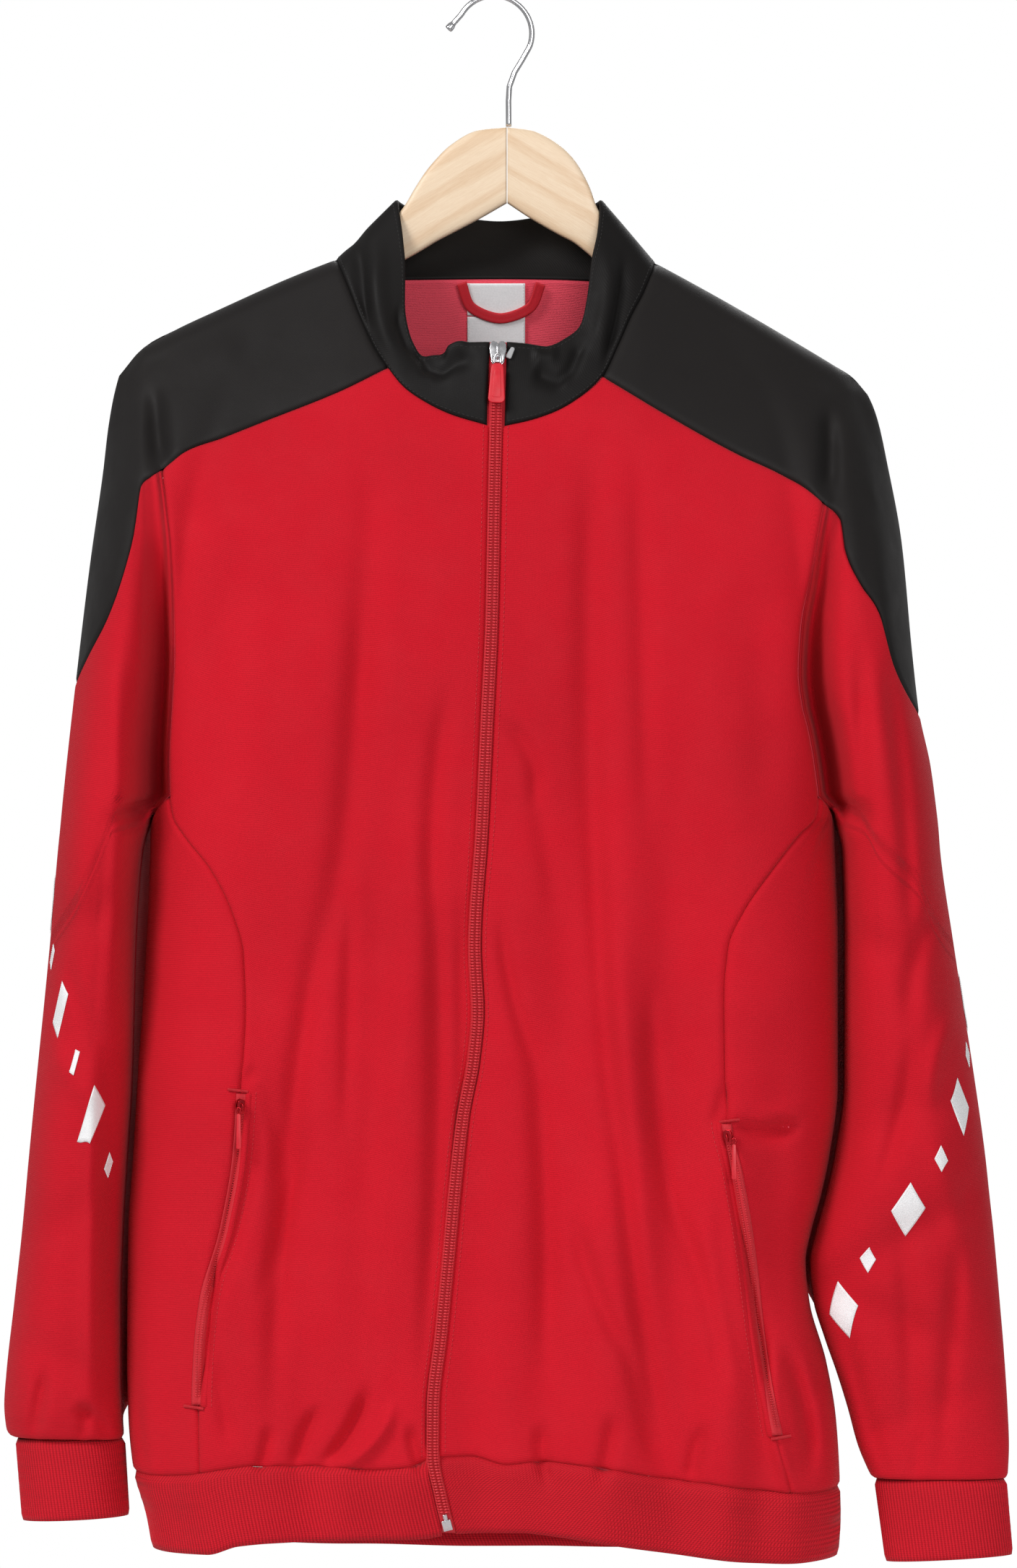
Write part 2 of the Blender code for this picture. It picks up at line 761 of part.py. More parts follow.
def collar_surface(s, t):
    """s in rows of the collar's table, t from the neck seam up."""
    bx = neck(s, "base_x")
    bz = neck(s, "base_z")
    front = (s < ROW_RIDGE_RIGHT) | (s > ROW_RIDGE_LEFT)
    by = np.where(front, -cloth_depth(bx, bz, -1), cloth_depth(bx, bz, 1))
    base = np.stack([bx, by, bz], axis=-1)
    top = np.stack([neck(s, "top_x"), neck(s, "top_y"), neck(s, "top_z")], axis=-1)
    length = np.linalg.norm(top - base, axis=-1, keepdims=True)
    behind = np.where(front, 0.0, 1.0)[..., None]
    base = base + (top - base) / length * SEAM * (2.2 + 2.4 * behind)
    belly = np.sin(np.pi * t)[..., None] * np.array([0.0, -1.0, 0.0]) * 2.0
    return mix(base, top, t[..., None]) + belly * np.where(front, 1.0, -1.0)[..., None]


def hem_surface(s, t):
    """s from -2 at the zip by the right side (-1) and the back (0) to the left side (1) and the zip (2)."""
    side_is_right = s < 0
    size = np.abs(s)
    front = size > 1
    share = np.where(front, 2 - size, size)
    sign = np.where(side_is_right, -1.0, 1.0)

    def at(z):
        edge = by_side(s, curve(TORSO["right"], "z", "edge", z), curve(TORSO["left"], "z", "edge", z))
        start = np.where(front, zip_x(z) + sign * ZIP_GAP, 0.0)
        return mix(start, sign * edge, share)

    x = at(np.full_like(s, HEM_LEVEL))
    high = np.where(front, hem_z(x, -1, "seam"), hem_z(x, 1, "seam")) - SEAM / 2
    low = np.where(front, hem_z(x, -1, "bottom"), hem_z(x, 1, "bottom"))
    z = mix(low, high, t)
    x = at(z)
    y = np.where(front, -cloth_depth(x, z, -1), cloth_depth(x, z, 1))
    return np.stack([x, y, z], axis=-1)


def cuff_surface(side):
    sign = -1 if side == "right" else 1
    top = CUFF_SEAM[side]
    rows = CUFFS[side]

    def surface(s, t):
        angle = s * 2 * np.pi
        z = mix(top - 45.0, top - 2.5 * SEAM, t) + (1 - t) * rows["tilt"] * np.cos(angle)
        inner = mix(rows["inner"][0], rows["inner"][1], t)
        outer = mix(rows["outer"][0], rows["outer"][1], t)
        deep = mix(rows["deep"][0], rows["deep"][1], t)
        x = sign * ((inner + outer) / 2 - (outer - inner) / 2 * np.cos(angle))
        y = deep * np.sin(angle) * -sign
        return np.stack([x, y, z], axis=-1)

    return surface


CUFFS = {
    "right": {"inner": (206.8, 209.4), "outer": (268.0, 271.8), "deep": (27.0, 28.0), "tilt": 1.5},
    "left": {"inner": (222.0, 215.6), "outer": (294.6, 291.0), "deep": (19.0, 19.6), "tilt": -2.0},
}


def zip_line(s, t):
    """s across the tape in millimetres, t from the hem's foot to the collar's top."""
    z = mix(-866.0, -197.4, t)
    x = zip_x(z) + s
    base_y = -cloth_depth(zip_x(z), np.minimum(z, -244.0), -1)
    up = np.clip((z + 244.0) / 47.0, 0, 1)
    y = mix(base_y, COLLAR["top_y"][0], up) - 2.0 * np.sin(np.pi * up)
    return np.stack([x, y, z], axis=-1)


def pocket_line(side, top, low):
    """A strip over the side seam, straight between the two panels' own points."""
    sign = -1 if side == "right" else 1
    foot = float(hem_z(np.array(sign * seam_x(HEM_LEVEL, side)), -1, "seam"))
    rows = mix(foot, PIT_TOP, LOW_ROWS)
    one = np.ones_like(LOW_ROWS)
    seam = front_surface(side)(one, LOW_ROWS)
    lines = [seam]
    for start, beside in (
        (seam, front_surface(side)(one * front_samples(side)[-2], LOW_ROWS)),
        (side_surface(side)(-one, LOW_ROWS), side_surface(side)(one * SIDE_TURNS[1], LOW_ROWS)),
    ):
        far = np.linalg.norm(beside - start, axis=-1, keepdims=True)
        lines.append(mix(start, beside, POCKET_HALF / far))
    lines = np.stack([lines[1], lines[0], lines[2]])

    def surface(s, t):
        z = mix(low, top, t)
        k = np.clip(np.searchsorted(rows, z) - 1, 0, len(rows) - 2)
        share = ((z - rows[k]) / (rows[k + 1] - rows[k]))[..., None]
        at = [mix(line[k], line[k + 1], share) for line in lines]
        s = s[..., None]
        return np.where(s < 0, mix(at[1], at[0], -s), mix(at[1], at[2], s))

    inside = rows[(rows > low + 2) & (rows < top - 2)]
    return surface, (np.concatenate([[low], inside, [top]]) - low) / (top - low)


def tube(name, sections, colour):
    """A solid through closed rings of points."""
    m, n = sections.shape[:2]
    faces = []
    for i in range(m - 1):
        for j in range(n):
            k = (j + 1) % n
            faces.append((i * n + j, i * n + k, (i + 1) * n + k, (i + 1) * n + j))
    faces.append(tuple(range(n - 1, -1, -1)))
    faces.append(tuple((m - 1) * n + j for j in range(n)))
    return make_mesh(name, sections.reshape(-1, 3), faces, colour)


def wood(side):
    rows = WOOD[side]
    corners = []
    for y, edge in ((0.0, 0.0), (0.62, 0.22), (0.92, 0.62), (1.0, 1.0)):
        corners.append((y, edge))
    rings = []
    for i in range(len(rows["x"])):
        x = rows["x"][i]
        top = rows["top"][i]
        bottom = rows["bottom"][i]
        last = i == len(rows["x"]) - 1
        half = WOOD_HALF * (0.7 if last else 1.0)
        upper = [(half * y, top - WOOD_EDGE * e) for y, e in corners]
        lower = [(half * y, bottom + WOOD_EDGE * e) for y, e in reversed(corners)]
        right_half = upper + lower
        left_half = [(-y, z) for y, z in reversed(right_half[1:-1])]
        rings.append([(x, y, z) for y, z in right_half + left_half])
    rings = np.array(rings)
    if side == "left":
        rings = rings[:, ::-1]
    return tube("hanger_" + side, rings, "wood")


def hook():
    points = list(zip(HOOK_STEM["x"], HOOK_STEM["z"]))
    for degrees in range(-18, 151, 12):
        a = math.radians(degrees)
        points.append((HOOK_RADIUS * math.cos(a), HOOK_CENTRE_Z + HOOK_RADIUS * math.sin(a)))
    points.append((-22.6, -13.6))
    points.append(HOOK_TIP)
    data = bpy.data.curves.new("hook", "CURVE")
    data.dimensions = "3D"
    data.bevel_depth = WIRE_RADIUS * MM
    data.bevel_resolution = 2
    data.use_fill_caps = True
    line = data.splines.new("POLY")
    line.points.add(len(points) - 1)
    for i, (x, z) in enumerate(points):
        line.points[i].co = (x * MM, 0, z * MM, 1)
        line.points[i].radius = 1.45 if i >= len(points) - 1 else 1.0
    return finish(bpy.data.objects.new("hook", data), "steel")


def block(name, size, centre, colour, bevel=0.0, lean=0.0):
    """A box of the given size in millimetres, its edges rounded."""
    bpy.ops.mesh.primitive_cube_add(size=1)
    thing = bpy.context.object
    thing.name = name
    thing.data.name = name
    for vertex in thing.data.vertices:
        for axis in range(3):
            vertex.co[axis] *= size[axis] * MM
    thing.rotation_euler[0] = lean
    thing.location = [c * MM for c in centre]
    for owner in thing.users_collection:
        owner.objects.unlink(thing)
    if bevel:
        rounding = thing.modifiers.new("Bevel", "BEVEL")
        rounding.width = bevel * MM
        rounding.segments = 2
        rounding.limit_method = "ANGLE"
    return finish(thing, colour)


def surface_point(surface, s, t, lift):
    s = np.array([[s]], float)
    t = np.array([[t]], float)
    return (surface(s, t) + normals_of(surface, s, t) * lift)[0, 0]


# Where the panels are sampled, so that neighbours share the points of their seams
LOW_ROWS = np.array([0, 0.09, 0.18, 0.26, 0.33, 0.4, 0.49, 0.6, 0.71, 0.81, 0.89, 0.95, 1.0])
UP_ROWS = np.linspace(0, 1, 7)
SIDE_TURNS = np.linspace(-1, 1, 11)
YOKE_ALONG = np.concatenate([np.linspace(0, 1, 9), 1 + np.linspace(0, 1, 9)[1:]])
YOKE_OVER = np.linspace(-1, 1, 13)


def front_samples(side):
    sign = -1 if side == "right" else 1
    rows = np.arange(0, 4) if side == "right" else np.arange(24, 20, -1)
    at_neck = sign * neck(rows.astype(float), "base_x")
    body = {"k": np.linspace(0, 1, 6), "x": SHOULDER[side]["front_x"]}
    at_yoke = curve(body, "k", "x", YOKE_ALONG[:9])
    across = np.concatenate([at_neck, at_yoke])
    start = sign * 1.0 + ZIP_GAP
    s = (across - start) / (SEAMS[side]["x"][0] - start)
    s[0], s[-1] = 0.0, 1.0
    return s


BODY_ROWS = np.concatenate([LOW_ROWS, 1 + UP_ROWS[1:]])


def zip_t(z):
    return (z + 866.0) / (866.0 - 197.4)


def zip_rows(low, high):
    """Places along the zip, level with the right front's own rows."""
    foot = float(hem_z(np.array(zip_x(HEM_LEVEL) - ZIP_GAP), -1, "seam"))
    z = climb(foot, COLLAR["base_z"][0], BODY_ROWS)
    z = np.concatenate([[-866.0, -854.0, -840.0], z, [-232.0, -221.0, -211.5, -197.4]])
    return zip_t(z[(z >= low - 0.01) & (z <= high + 0.01)])


def back_samples():
    k = {"k": np.linspace(0, 1, 6)}
    right = curve(dict(k, x=SHOULDER["right"]["back_x"]), "k", "x", YOKE_ALONG[8::-1])
    left = curve(dict(k, x=SHOULDER["left"]["back_x"]), "k", "x", YOKE_ALONG[:9])
    middle = neck(np.linspace(ROW_BACK_RIGHT, ROW_BACK_LEFT, 9)[1:-1], "base_x")
    x = np.concatenate([-right, middle, left])
    s = (x - x[0]) / (x[-1] - x[0]) * 2 - 1
    return s


def sleeve_rows(side):
    """Level with the side panel's rows beside it, then with the armhole's foot and the front's rows."""
    low = CUFF_SEAM[side]
    top = TONGUE[side]["seam_z"][0]
    sign = -1 if side == "right" else 1
    edge = float(curve(TORSO[side], "z", "edge", np.array(HEM_LEVEL)))
    hem = float(hem_z(np.array(sign * edge), -1, "seam"))
    beside = mix(hem, PIT_Z, LOW_ROWS)[:-1]
    beside = np.concatenate([[low], beside[beside > low + 6.0]])
    turn = 1 - np.cos(np.pi / 2 * SIDE_TURNS[5:])
    foot = mix(PIT_Z, PIT_TOP, np.sqrt(turn))
    above = mix(PIT_TOP, top, UP_ROWS[1:])
    return (np.concatenate([beside, foot, above]) - low) / (top - low)


def collar_samples():
    over = np.abs(YOKE_OVER[:7]) ** 1.6
    right_front = mix(ROW_RIDGE_RIGHT, ROW_SHOULDER_RIGHT, over)
    right_back = mix(ROW_RIDGE_RIGHT, ROW_BACK_RIGHT, over[::-1])
    left_back = mix(ROW_RIDGE_LEFT, ROW_BACK_LEFT, over)
    left_front = mix(ROW_RIDGE_LEFT, ROW_SHOULDER_LEFT, over[::-1])
    middle = np.linspace(ROW_BACK_RIGHT, ROW_BACK_LEFT, 9)
    parts = [np.arange(0, 4), right_front, right_back[1:], middle[1:], left_back[1:], left_front[1:]]
    return np.concatenate(parts + [np.arange(21, 25)])


def hem_samples():
    out = []
    for side, sign in (("right", -1), ("left", 1)):
        edge = float(curve(TORSO[side], "z", "edge", np.array(HEM_LEVEL)))
        seam = float(seam_x(HEM_LEVEL, side))
        start = float(sign * zip_x(HEM_LEVEL) + ZIP_GAP)
        turn = 1 - np.cos(np.pi / 2 * SIDE_TURNS[5:])
        front_part = front_samples(side) * (seam - start) / (edge - start)
        side_front = 1 - (1 - (seam - start) / (edge - start)) * turn[::-1][1:]
        side_back = 1 - (1 - seam / edge) * turn[1:]
        back_part = np.linspace(seam / edge, 0, 9)[1:-1]
        half = np.concatenate([2 - front_part, 2 - side_front, side_back, back_part])
        out.append(sign * half)
    return np.concatenate([out[0], [0.0], out[1][::-1]])


def lean_of(surface, z_low, z_high, t_of):
    low = surface_point(surface, 0.0, t_of(z_low), 0)
    high = surface_point(surface, 0.0, t_of(z_high), 0)
    return -math.atan2(high[1] - low[1], high[2] - low[2])


def inside_back(centre_x, z_low, z_high):
    """A flat patch of the back's inner face, s across in millimetres."""

    def surface(s, t):
        return cloth(centre_x + s, mix(z_low, z_high, t), 1)

    return surface


LOOP = table("k x z", (0, -22.3, -164.5), (1, -12.0, -178.5), (2, 2.4, -184.5), (3, 25.1, -175.0), (4, 32.5, -164.8))
LOOP_WIDTH = 5.8


def loop_surface(s, t):
    k = t * 4
    x = curve(LOOP, "k", "x", k)
    z = curve(LOOP, "k", "z", k)
    dx = curve(LOOP, "k", "x", k + 0.01) - curve(LOOP, "k", "x", k - 0.01)
    dz = curve(LOOP, "k", "z", k + 0.01) - curve(LOOP, "k", "z", k - 0.01)
    size = np.hypot(dx, dz)
    return cloth(x - s * dz / size, z + s * dx / size, 1)


for old in list(bpy.data.objects):
    bpy.data.objects.remove(old, do_unlink=True)
COLLECTED = bpy.data.collections.new(COLLECTION)
bpy.context.scene.collection.children.link(COLLECTED)

arm_turns = mix(1.0, TONGUE_END, np.linspace(0, 1, 9))
arm_turns = np.concatenate([-arm_turns, [0.0], arm_turns[::-1]])
for side in ("right", "left"):
    is_left = side == "left"
    panel("front_" + side, front_surface(side), front_samples(side), BODY_ROWS,
          "red", flip=not is_left)
    panel("side_panel_" + side, side_surface(side), SIDE_TURNS, LOW_ROWS, "red", flip=not is_left)
    panel("sleeve_" + side, sleeve_surface(side), arm_turns, sleeve_rows(side), "red", flip=not is_left)
    panel("yoke_" + side, yoke_surface(side), YOKE_ALONG, YOKE_OVER, "black", flip=not is_left)
    panel("cuff_" + side, cuff_surface(side), np.linspace(0, 1, 21)[:-1], np.linspace(0, 1, 3),
          "red", wall=RIB_WALL, closed=True)
    wood(side)

panel("back", back_surface, back_samples(), BODY_ROWS, "red", flip=True)
panel("collar", collar_surface, collar_samples(), np.linspace(0, 1, 5), "black", wall=RIB_WALL, flip=True)
panel("hem_band", hem_surface, hem_samples(), np.linspace(0, 1, 4), "red", wall=RIB_WALL, flip=True)
panel("zip_tape", zip_line, np.linspace(-ZIP_TAPE_HALF, ZIP_TAPE_HALF, 3), zip_rows(-866, -197.4), "red")
panel("zip_coil", zip_line, np.array([-COIL_HALF, 0, COIL_HALF]), zip_rows(-854, -211.5),
      "red", wall=COIL_HEIGHT, lift=SEAM + COIL_HEIGHT)

lean = lean_of(zip_line, -209.0, -198.0, zip_t)
block("zip_slider", SLIDER, surface_point(zip_line, 0, zip_t(-204.0), SEAM + SLIDER[1] / 2), "steel", 0.8, lean)
lean = lean_of(zip_line, -232.0, -204.0, zip_t)
block("zip_pull", PULL, surface_point(zip_line, 0, zip_t(-217.5), SEAM + SLIDER[1] + 1.3), "red", 0.5, lean)
block("zip_end_box", (5.6, 3.4, 9.4), surface_point(zip_line, 0, zip_t(-859.6), SEAM + 1.8), "steel", 0.5,
      lean_of(zip_line, -864.0, -855.0, zip_t))

for side, top, low in (("right", -619.0, -794.0), ("left", -636.0, -811.0)):
    line, places = pocket_line(side, top, low)
    panel("pocket_zip_" + side, line, np.array([-1.0, 0.0, 1.0]), places, "red",
          wall=TAPE_WALL, lift=3.5 * SEAM + TAPE_WALL, flip=side == "right")
    sign = -1 if side == "right" else 1
    for name, z, size, lift, colour in (
        ("pocket_slider_", top - 7.0, (5.6, 3.0, 9.0), 4.2, "steel"),
        ("pocket_pull_", top - 19.0, POCKET_PULL, 7.0, "red"),
    ):
        at = cloth(np.array([sign * float(seam_x(z, side))]), np.array([z]), -1)[0]
        block(name + side, size, (at[0], at[1] - lift, at[2]), colour, 0.5)

panel("neck_label", inside_back(1.2, -178.0, -162.5), np.linspace(-16.5, 16.5, 5), np.linspace(0, 1, 3),
      "white", wall=0.8, lift=-(WALL + 1.0), flip=True)
panel("size_label", inside_back(1.2, -194.0, -178.6), np.linspace(-9.0, 9.0, 4), np.linspace(0, 1, 3),
      "white", wall=0.8, lift=-(WALL + 1.0), flip=True)
panel("hanging_loop", loop_surface, np.array([-LOOP_WIDTH / 2, 0, LOOP_WIDTH / 2]), np.linspace(0, 1, 17),
      "red_inside", wall=1.2, lift=-(WALL + 2.4))
hook()
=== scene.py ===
"""Dresses the packed track jacket and its wooden hanger. Run as a script in Blender 4.5."""

import math

import bmesh
import bpy
import numpy as np
from bpy.props import FloatProperty, FloatVectorProperty, PointerProperty
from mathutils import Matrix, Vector


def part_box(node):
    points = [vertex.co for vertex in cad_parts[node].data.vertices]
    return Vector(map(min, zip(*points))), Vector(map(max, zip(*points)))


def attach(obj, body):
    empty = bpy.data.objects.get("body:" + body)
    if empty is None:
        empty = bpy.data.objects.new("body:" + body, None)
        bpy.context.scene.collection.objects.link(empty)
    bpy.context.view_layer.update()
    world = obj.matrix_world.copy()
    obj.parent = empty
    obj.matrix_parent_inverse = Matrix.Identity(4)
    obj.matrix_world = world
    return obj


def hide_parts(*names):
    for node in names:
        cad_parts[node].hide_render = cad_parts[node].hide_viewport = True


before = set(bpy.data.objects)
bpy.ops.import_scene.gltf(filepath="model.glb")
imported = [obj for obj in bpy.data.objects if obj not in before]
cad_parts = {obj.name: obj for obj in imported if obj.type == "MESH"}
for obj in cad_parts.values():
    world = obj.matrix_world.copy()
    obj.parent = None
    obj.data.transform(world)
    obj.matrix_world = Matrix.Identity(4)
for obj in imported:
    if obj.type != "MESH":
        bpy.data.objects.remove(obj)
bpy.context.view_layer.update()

bl_info = {
    "name": "Track jacket on a wooden hanger",
    "version": (1, 0, 0),
    "blender": (4, 5, 0),
    "location": "3D View > Sidebar > Jacket",
    "description": "Builds a zip-front track jacket that hangs on a wooden hanger",
    "category": "Object",
}

MM = 0.001

SIGN = {"right": -1, "left": 1}

# Cloth and seams. Lengths and heights are millimetres here and in every table below
SEAM = 0.08  # gap between neighbouring panels
RIDGE_ROLL = 10.0  # round over the shoulder line
DRAPE = 140.0  # drop from the shoulder line in which the cloth reaches its full depth
SIDE_ROLL = 62.0  # round at the sides of the body
PIT_Z = -470.0  # underarm
UNION = 8.0  # power that joins body and sleeve
ARM_INNER = 2.7  # power of the sleeve's inner round
MEETING = 0.9992  # share of its round at which a sleeve's two edges meet

# Hanger and hook
WOOD_HALF = 6.0
WIRE_RADIUS = 1.6
HOOK_RADIUS = 21.5
HOOK_CENTRE_Z = -19.9
HOOK_TIP = (-26.2, -17.6)

# Zip
ZIP_GAP = 3.9
ZIP_FOOT = -866.0
ZIP_TOP = -197.4
ZIP_NECK = -244.0
SLIDER_Z = -204.0
TEETH_FOOT, TEETH_TOP = -854.0, -212.0
END_BOX_Z = -859.6


def table(columns, *rows):
    """A table as one array a column."""
    data = np.array(rows, float)
    return {name: data[:, i] for i, name in enumerate(columns.split())}


# The body by height: its half width, and how far its front and back stand from the hanging plane
TORSO = {
    "right": table(
        "z edge front back",
        (-150, 206, 60, 50), (-204, 206, 62, 52), (-214, 210, 63, 53), (-243, 214, 65, 55),
        (-268, 213, 66, 56), (-320, 208, 70, 59), (-386, 201, 72, 61), (-430, 197.5, 72, 61),
        (-455, 196, 72, 61), (-470, 195, 72, 61), (-534, 197.2, 70, 60), (-616, 202.6, 68, 58),
        (-657, 205, 67, 57), (-698, 207.6, 66, 56), (-773, 208.3, 64, 55), (-805, 207.5, 62, 54),
        (-835, 204.5, 60, 52), (-861, 197.2, 57, 50), (-885, 193.1, 53, 47),
    ),
    "left": table(
        "z edge front back",
        (-150, 200, 60, 50), (-205, 200, 62, 52), (-215, 202.5, 63, 53), (-243, 213, 65, 55),
        (-268, 213, 66, 56), (-320, 207, 70, 59), (-386, 198, 72, 61), (-430, 195.5, 72, 61),
        (-455, 194.3, 72, 61), (-470, 193.3, 72, 61), (-534, 195.2, 70, 60), (-616, 195.2, 68, 58),
        (-657, 190.2, 67, 57), (-681, 185, 66.5, 56.5), (-698, 180.2, 66, 56), (-716, 176.8, 65.5, 56),
        (-739, 179, 65, 55.5), (-773, 188.5, 64, 55), (-805, 194, 62, 54), (-835, 196, 60, 52),
        (-861, 196.8, 57, 50), (-885, 195.2, 53, 47),
    ),
}

# The sleeves by height: inner and outer edge, and half the depth
SLEEVE = {
    "right": table(
        "z inner outer half_depth",
        (-150, 120, 200, 54), (-204, 136, 206.6, 60), (-214, 142, 212.8, 62), (-243, 152, 218.9, 68),
        (-268, 160, 221.8, 71), (-321, 170, 229.2, 74), (-386, 178, 237, 74), (-430, 185, 242, 72),
        (-455, 190.5, 244.6, 71), (-470, 195.8, 246, 70), (-485, 199.6, 247.5, 69),
        (-534, 203.2, 251.7, 66), (-616, 205.4, 259.9, 60), (-657, 208, 263.9, 57),
        (-698, 210.4, 267.7, 54), (-739, 211.8, 272.2, 50), (-780, 211.8, 276.8, 44),
        (-798, 211.2, 278, 39), (-811, 210.4, 276.8, 33), (-817, 209.8, 273.4, 29),
    ),
    "left": table(
        "z inner outer half_depth",
        (-150, 120, 192, 54), (-205, 135, 197, 60), (-215, 142, 203.4, 62), (-224, 148, 211.6, 66),
        (-239, 154, 217.7, 69), (-263, 160, 223, 71), (-308, 166, 231.2, 74), (-370, 174, 237, 74),
        (-405, 179, 241.1, 73), (-435, 184.5, 247.5, 72), (-457, 189.5, 250.5, 71), (-470, 194.1, 252, 70),
        (-485, 197.4, 253.2, 69), (-534, 198.6, 260.3, 66), (-616, 198.4, 273.1, 60),
        (-657, 193, 278.8, 56), (-681, 187.6, 281.4, 53), (-698, 183, 283.3, 50), (-716, 179.2, 285, 47),
        (-739, 181.4, 287, 44), (-760, 187.6, 288.8, 40), (-780, 194.6, 290.3, 36),
        (-800, 200.8, 291.5, 31), (-821, 206.5, 292.3, 25), (-840, 214.5, 291.5, 20),
    ),
}

# Armhole and, below the underarm, side seam by height
SEAMS = {
    "right": table(
        "z x",
        (-268, 186.8), (-289, 183.6), (-314, 181.1), (-342, 180.3), (-370, 180.3), (-403, 182),
        (-431, 183.6), (-452, 183.4), (-464, 181.6), (-474, 175.5), (-494, 159.3), (-517, 147.2),
        (-541, 140.3), (-573, 139.1), (-606, 140.7), (-654, 144), (-695, 151.2), (-735, 162.2),
        (-765, 165.4), (-794, 166.6), (-834, 166),
    ),
    "left": table(
        "z x",
        (-287, 185.4), (-308, 181.3), (-334, 177.2), (-358, 173.2), (-383, 171.9), (-401, 174),
        (-415, 177.6), (-435, 181.3), (-457, 183.8), (-464, 182.6), (-474, 172.5), (-494, 156.3),
        (-517, 140.1), (-537, 131.2), (-565, 128.8), (-598, 129.2), (-634, 130), (-662, 136),
        (-711, 144.2), (-759, 150.2), (-808, 158.3), (-845, 167.6),
    ),
}
PIT_TOP = -452.0
HEM_LEVEL = -832.0
CUFF_SEAM = {"right": -816.5, "left": -839.5}

# From neck to armhole: the shoulder line and the yoke's seams in front and behind
SHOULDER = {
    "right": table(
        "ridge_x ridge_z front_x front_z back_x back_z",
        (89, -148, 59.7, -210.9, 60, -159.5), (116.4, -158.7, 88, -225, 92, -186),
        (157.4, -177.1, 128, -241, 128, -219), (177.9, -186.6, 152, -250.5, 150, -238),
        (198.4, -197.7, 172, -258, 171, -255), (212.8, -214.1, 186.8, -268, 186.8, -268),
    ),
    "left": table(
        "ridge_x ridge_z front_x front_z back_x back_z",
        (91, -150, 60.6, -216.1, 60, -160), (129.6, -171, 98, -238.5, 98, -195),
        (170.6, -194.8, 138, -260.5, 136, -232), (191.1, -207.1, 160, -270.5, 158, -255),
        (203.4, -214.9, 175, -279.5, 174, -273), (211.6, -224.3, 185.4, -287, 185.4, -287),
    ),
}

# The yoke's tongue down the sleeve: share of the way from armhole seam to outer edge
TONGUE = {
    "right": table(
        "share seam_z ridge_z",
        (0, -268, -214.1), (0.2, -273, -228), (0.34, -277, -243), (0.46, -309, -285), (0.68, -350, -330),
        (0.86, -371, -362), (1, -388, -387.4),
    ),
    "left": table(
        "share seam_z ridge_z",
        (0, -287, -224.3), (0.23, -297, -240), (0.31, -315, -268), (0.51, -334, -300), (0.69, -349, -328),
        (0.8, -378, -362), (0.9, -394, -385), (1, -406, -405.4),
    ),
}
TONGUE_END = 0.11
TIP_FILL = {"right": 5.9, "left": 6.5}

# The cloth's top line inside the neck
NECK_RIDGE = table("x z", (0, -141), (60, -142.5), (80, -145.2))

# The collar round the neck from zip to zip, one row a station, and the rows at shoulder seams and ridges
COLLAR = table(
    "base_x base_z top_x top_y top_z",
    (-4, -243.8, -2.6, -50, -197), (-24, -237.7, -19, -47, -197.4), (-38, -230.8, -31, -43, -204),
    (-50.3, -222.2, -40, -41, -203.5), (-59.7, -210.9, -47.5, -37, -191), (-67.4, -199, -50, -31, -175),
    (-74.7, -183, -50, -24, -155), (-80.8, -168, -52, -14, -133), (-89, -148, -55, 1, -114),
    (-79, -155.5, -51, 17, -116), (-60, -158, -42, 28, -118.5), (-30, -157.6, -23, 34, -121.8),
    (3, -157.4, 3, 36, -124.6), (32, -157.6, 28, 34, -121.8), (60, -158.4, 46, 28, -118.5),
    (80, -156.5, 56, 17, -116), (91, -150, 60.5, 1, -114), (83.8, -168, 59, -14, -131),
    (77.5, -180, 55, -24, -150), (69.5, -198, 52.5, -31, -170), (60.6, -216.1, 48.5, -37, -187),
    (47.2, -228.3, 40.3, -41, -194.5), (35, -235.6, 29, -45, -199.5), (20.8, -240.8, 18.8, -48, -198),
    (6.2, -244.2, 7.5, -50, -197),
)
ROW_SHOULDER = {"right": 4, "left": 20}
ROW_RIDGE = {"right": 8, "left": 16}
ROW_BACK = {"right": 10, "left": 14}

# Middle of the front zip by height
ZIP = table(
    "z x",
    (-197, 2.4), (-234, 1.4), (-290, 0.1), (-351, -1.1), (-411, -3.9), (-472, -6.8), (-537, -10.8),
    (-573, -9.2), (-601, -11.6), (-634, -17.7), (-674, -22.1), (-714, -25.8), (-755, -29.8), (-795, -34.2),
    (-820, -34.4), (-846, -29.8), (-866, -25),
)

# Hem band in front: its seam and its lower edge
HEM = table(
    "x seam bottom",
    (-206, -834.6, -878), (-190, -835.3, -879), (-172, -833.8, -879.1), (-153, -830.5, -874),
    (-134, -828.1, -872.2), (-100, -828.5, -871), (-67, -830.5, -870.2), (-48, -828.9, -869.6),
    (-31, -823.6, -867), (-12, -822.8, -866.2), (8, -827.7, -866.3), (25, -826.1, -868),
    (63, -829.7, -873.5), (91, -834.6, -877.5), (118, -838.2, -881), (146, -841.9, -883.6),
    (168, -844.5, -884.4), (197, -843, -882),
)

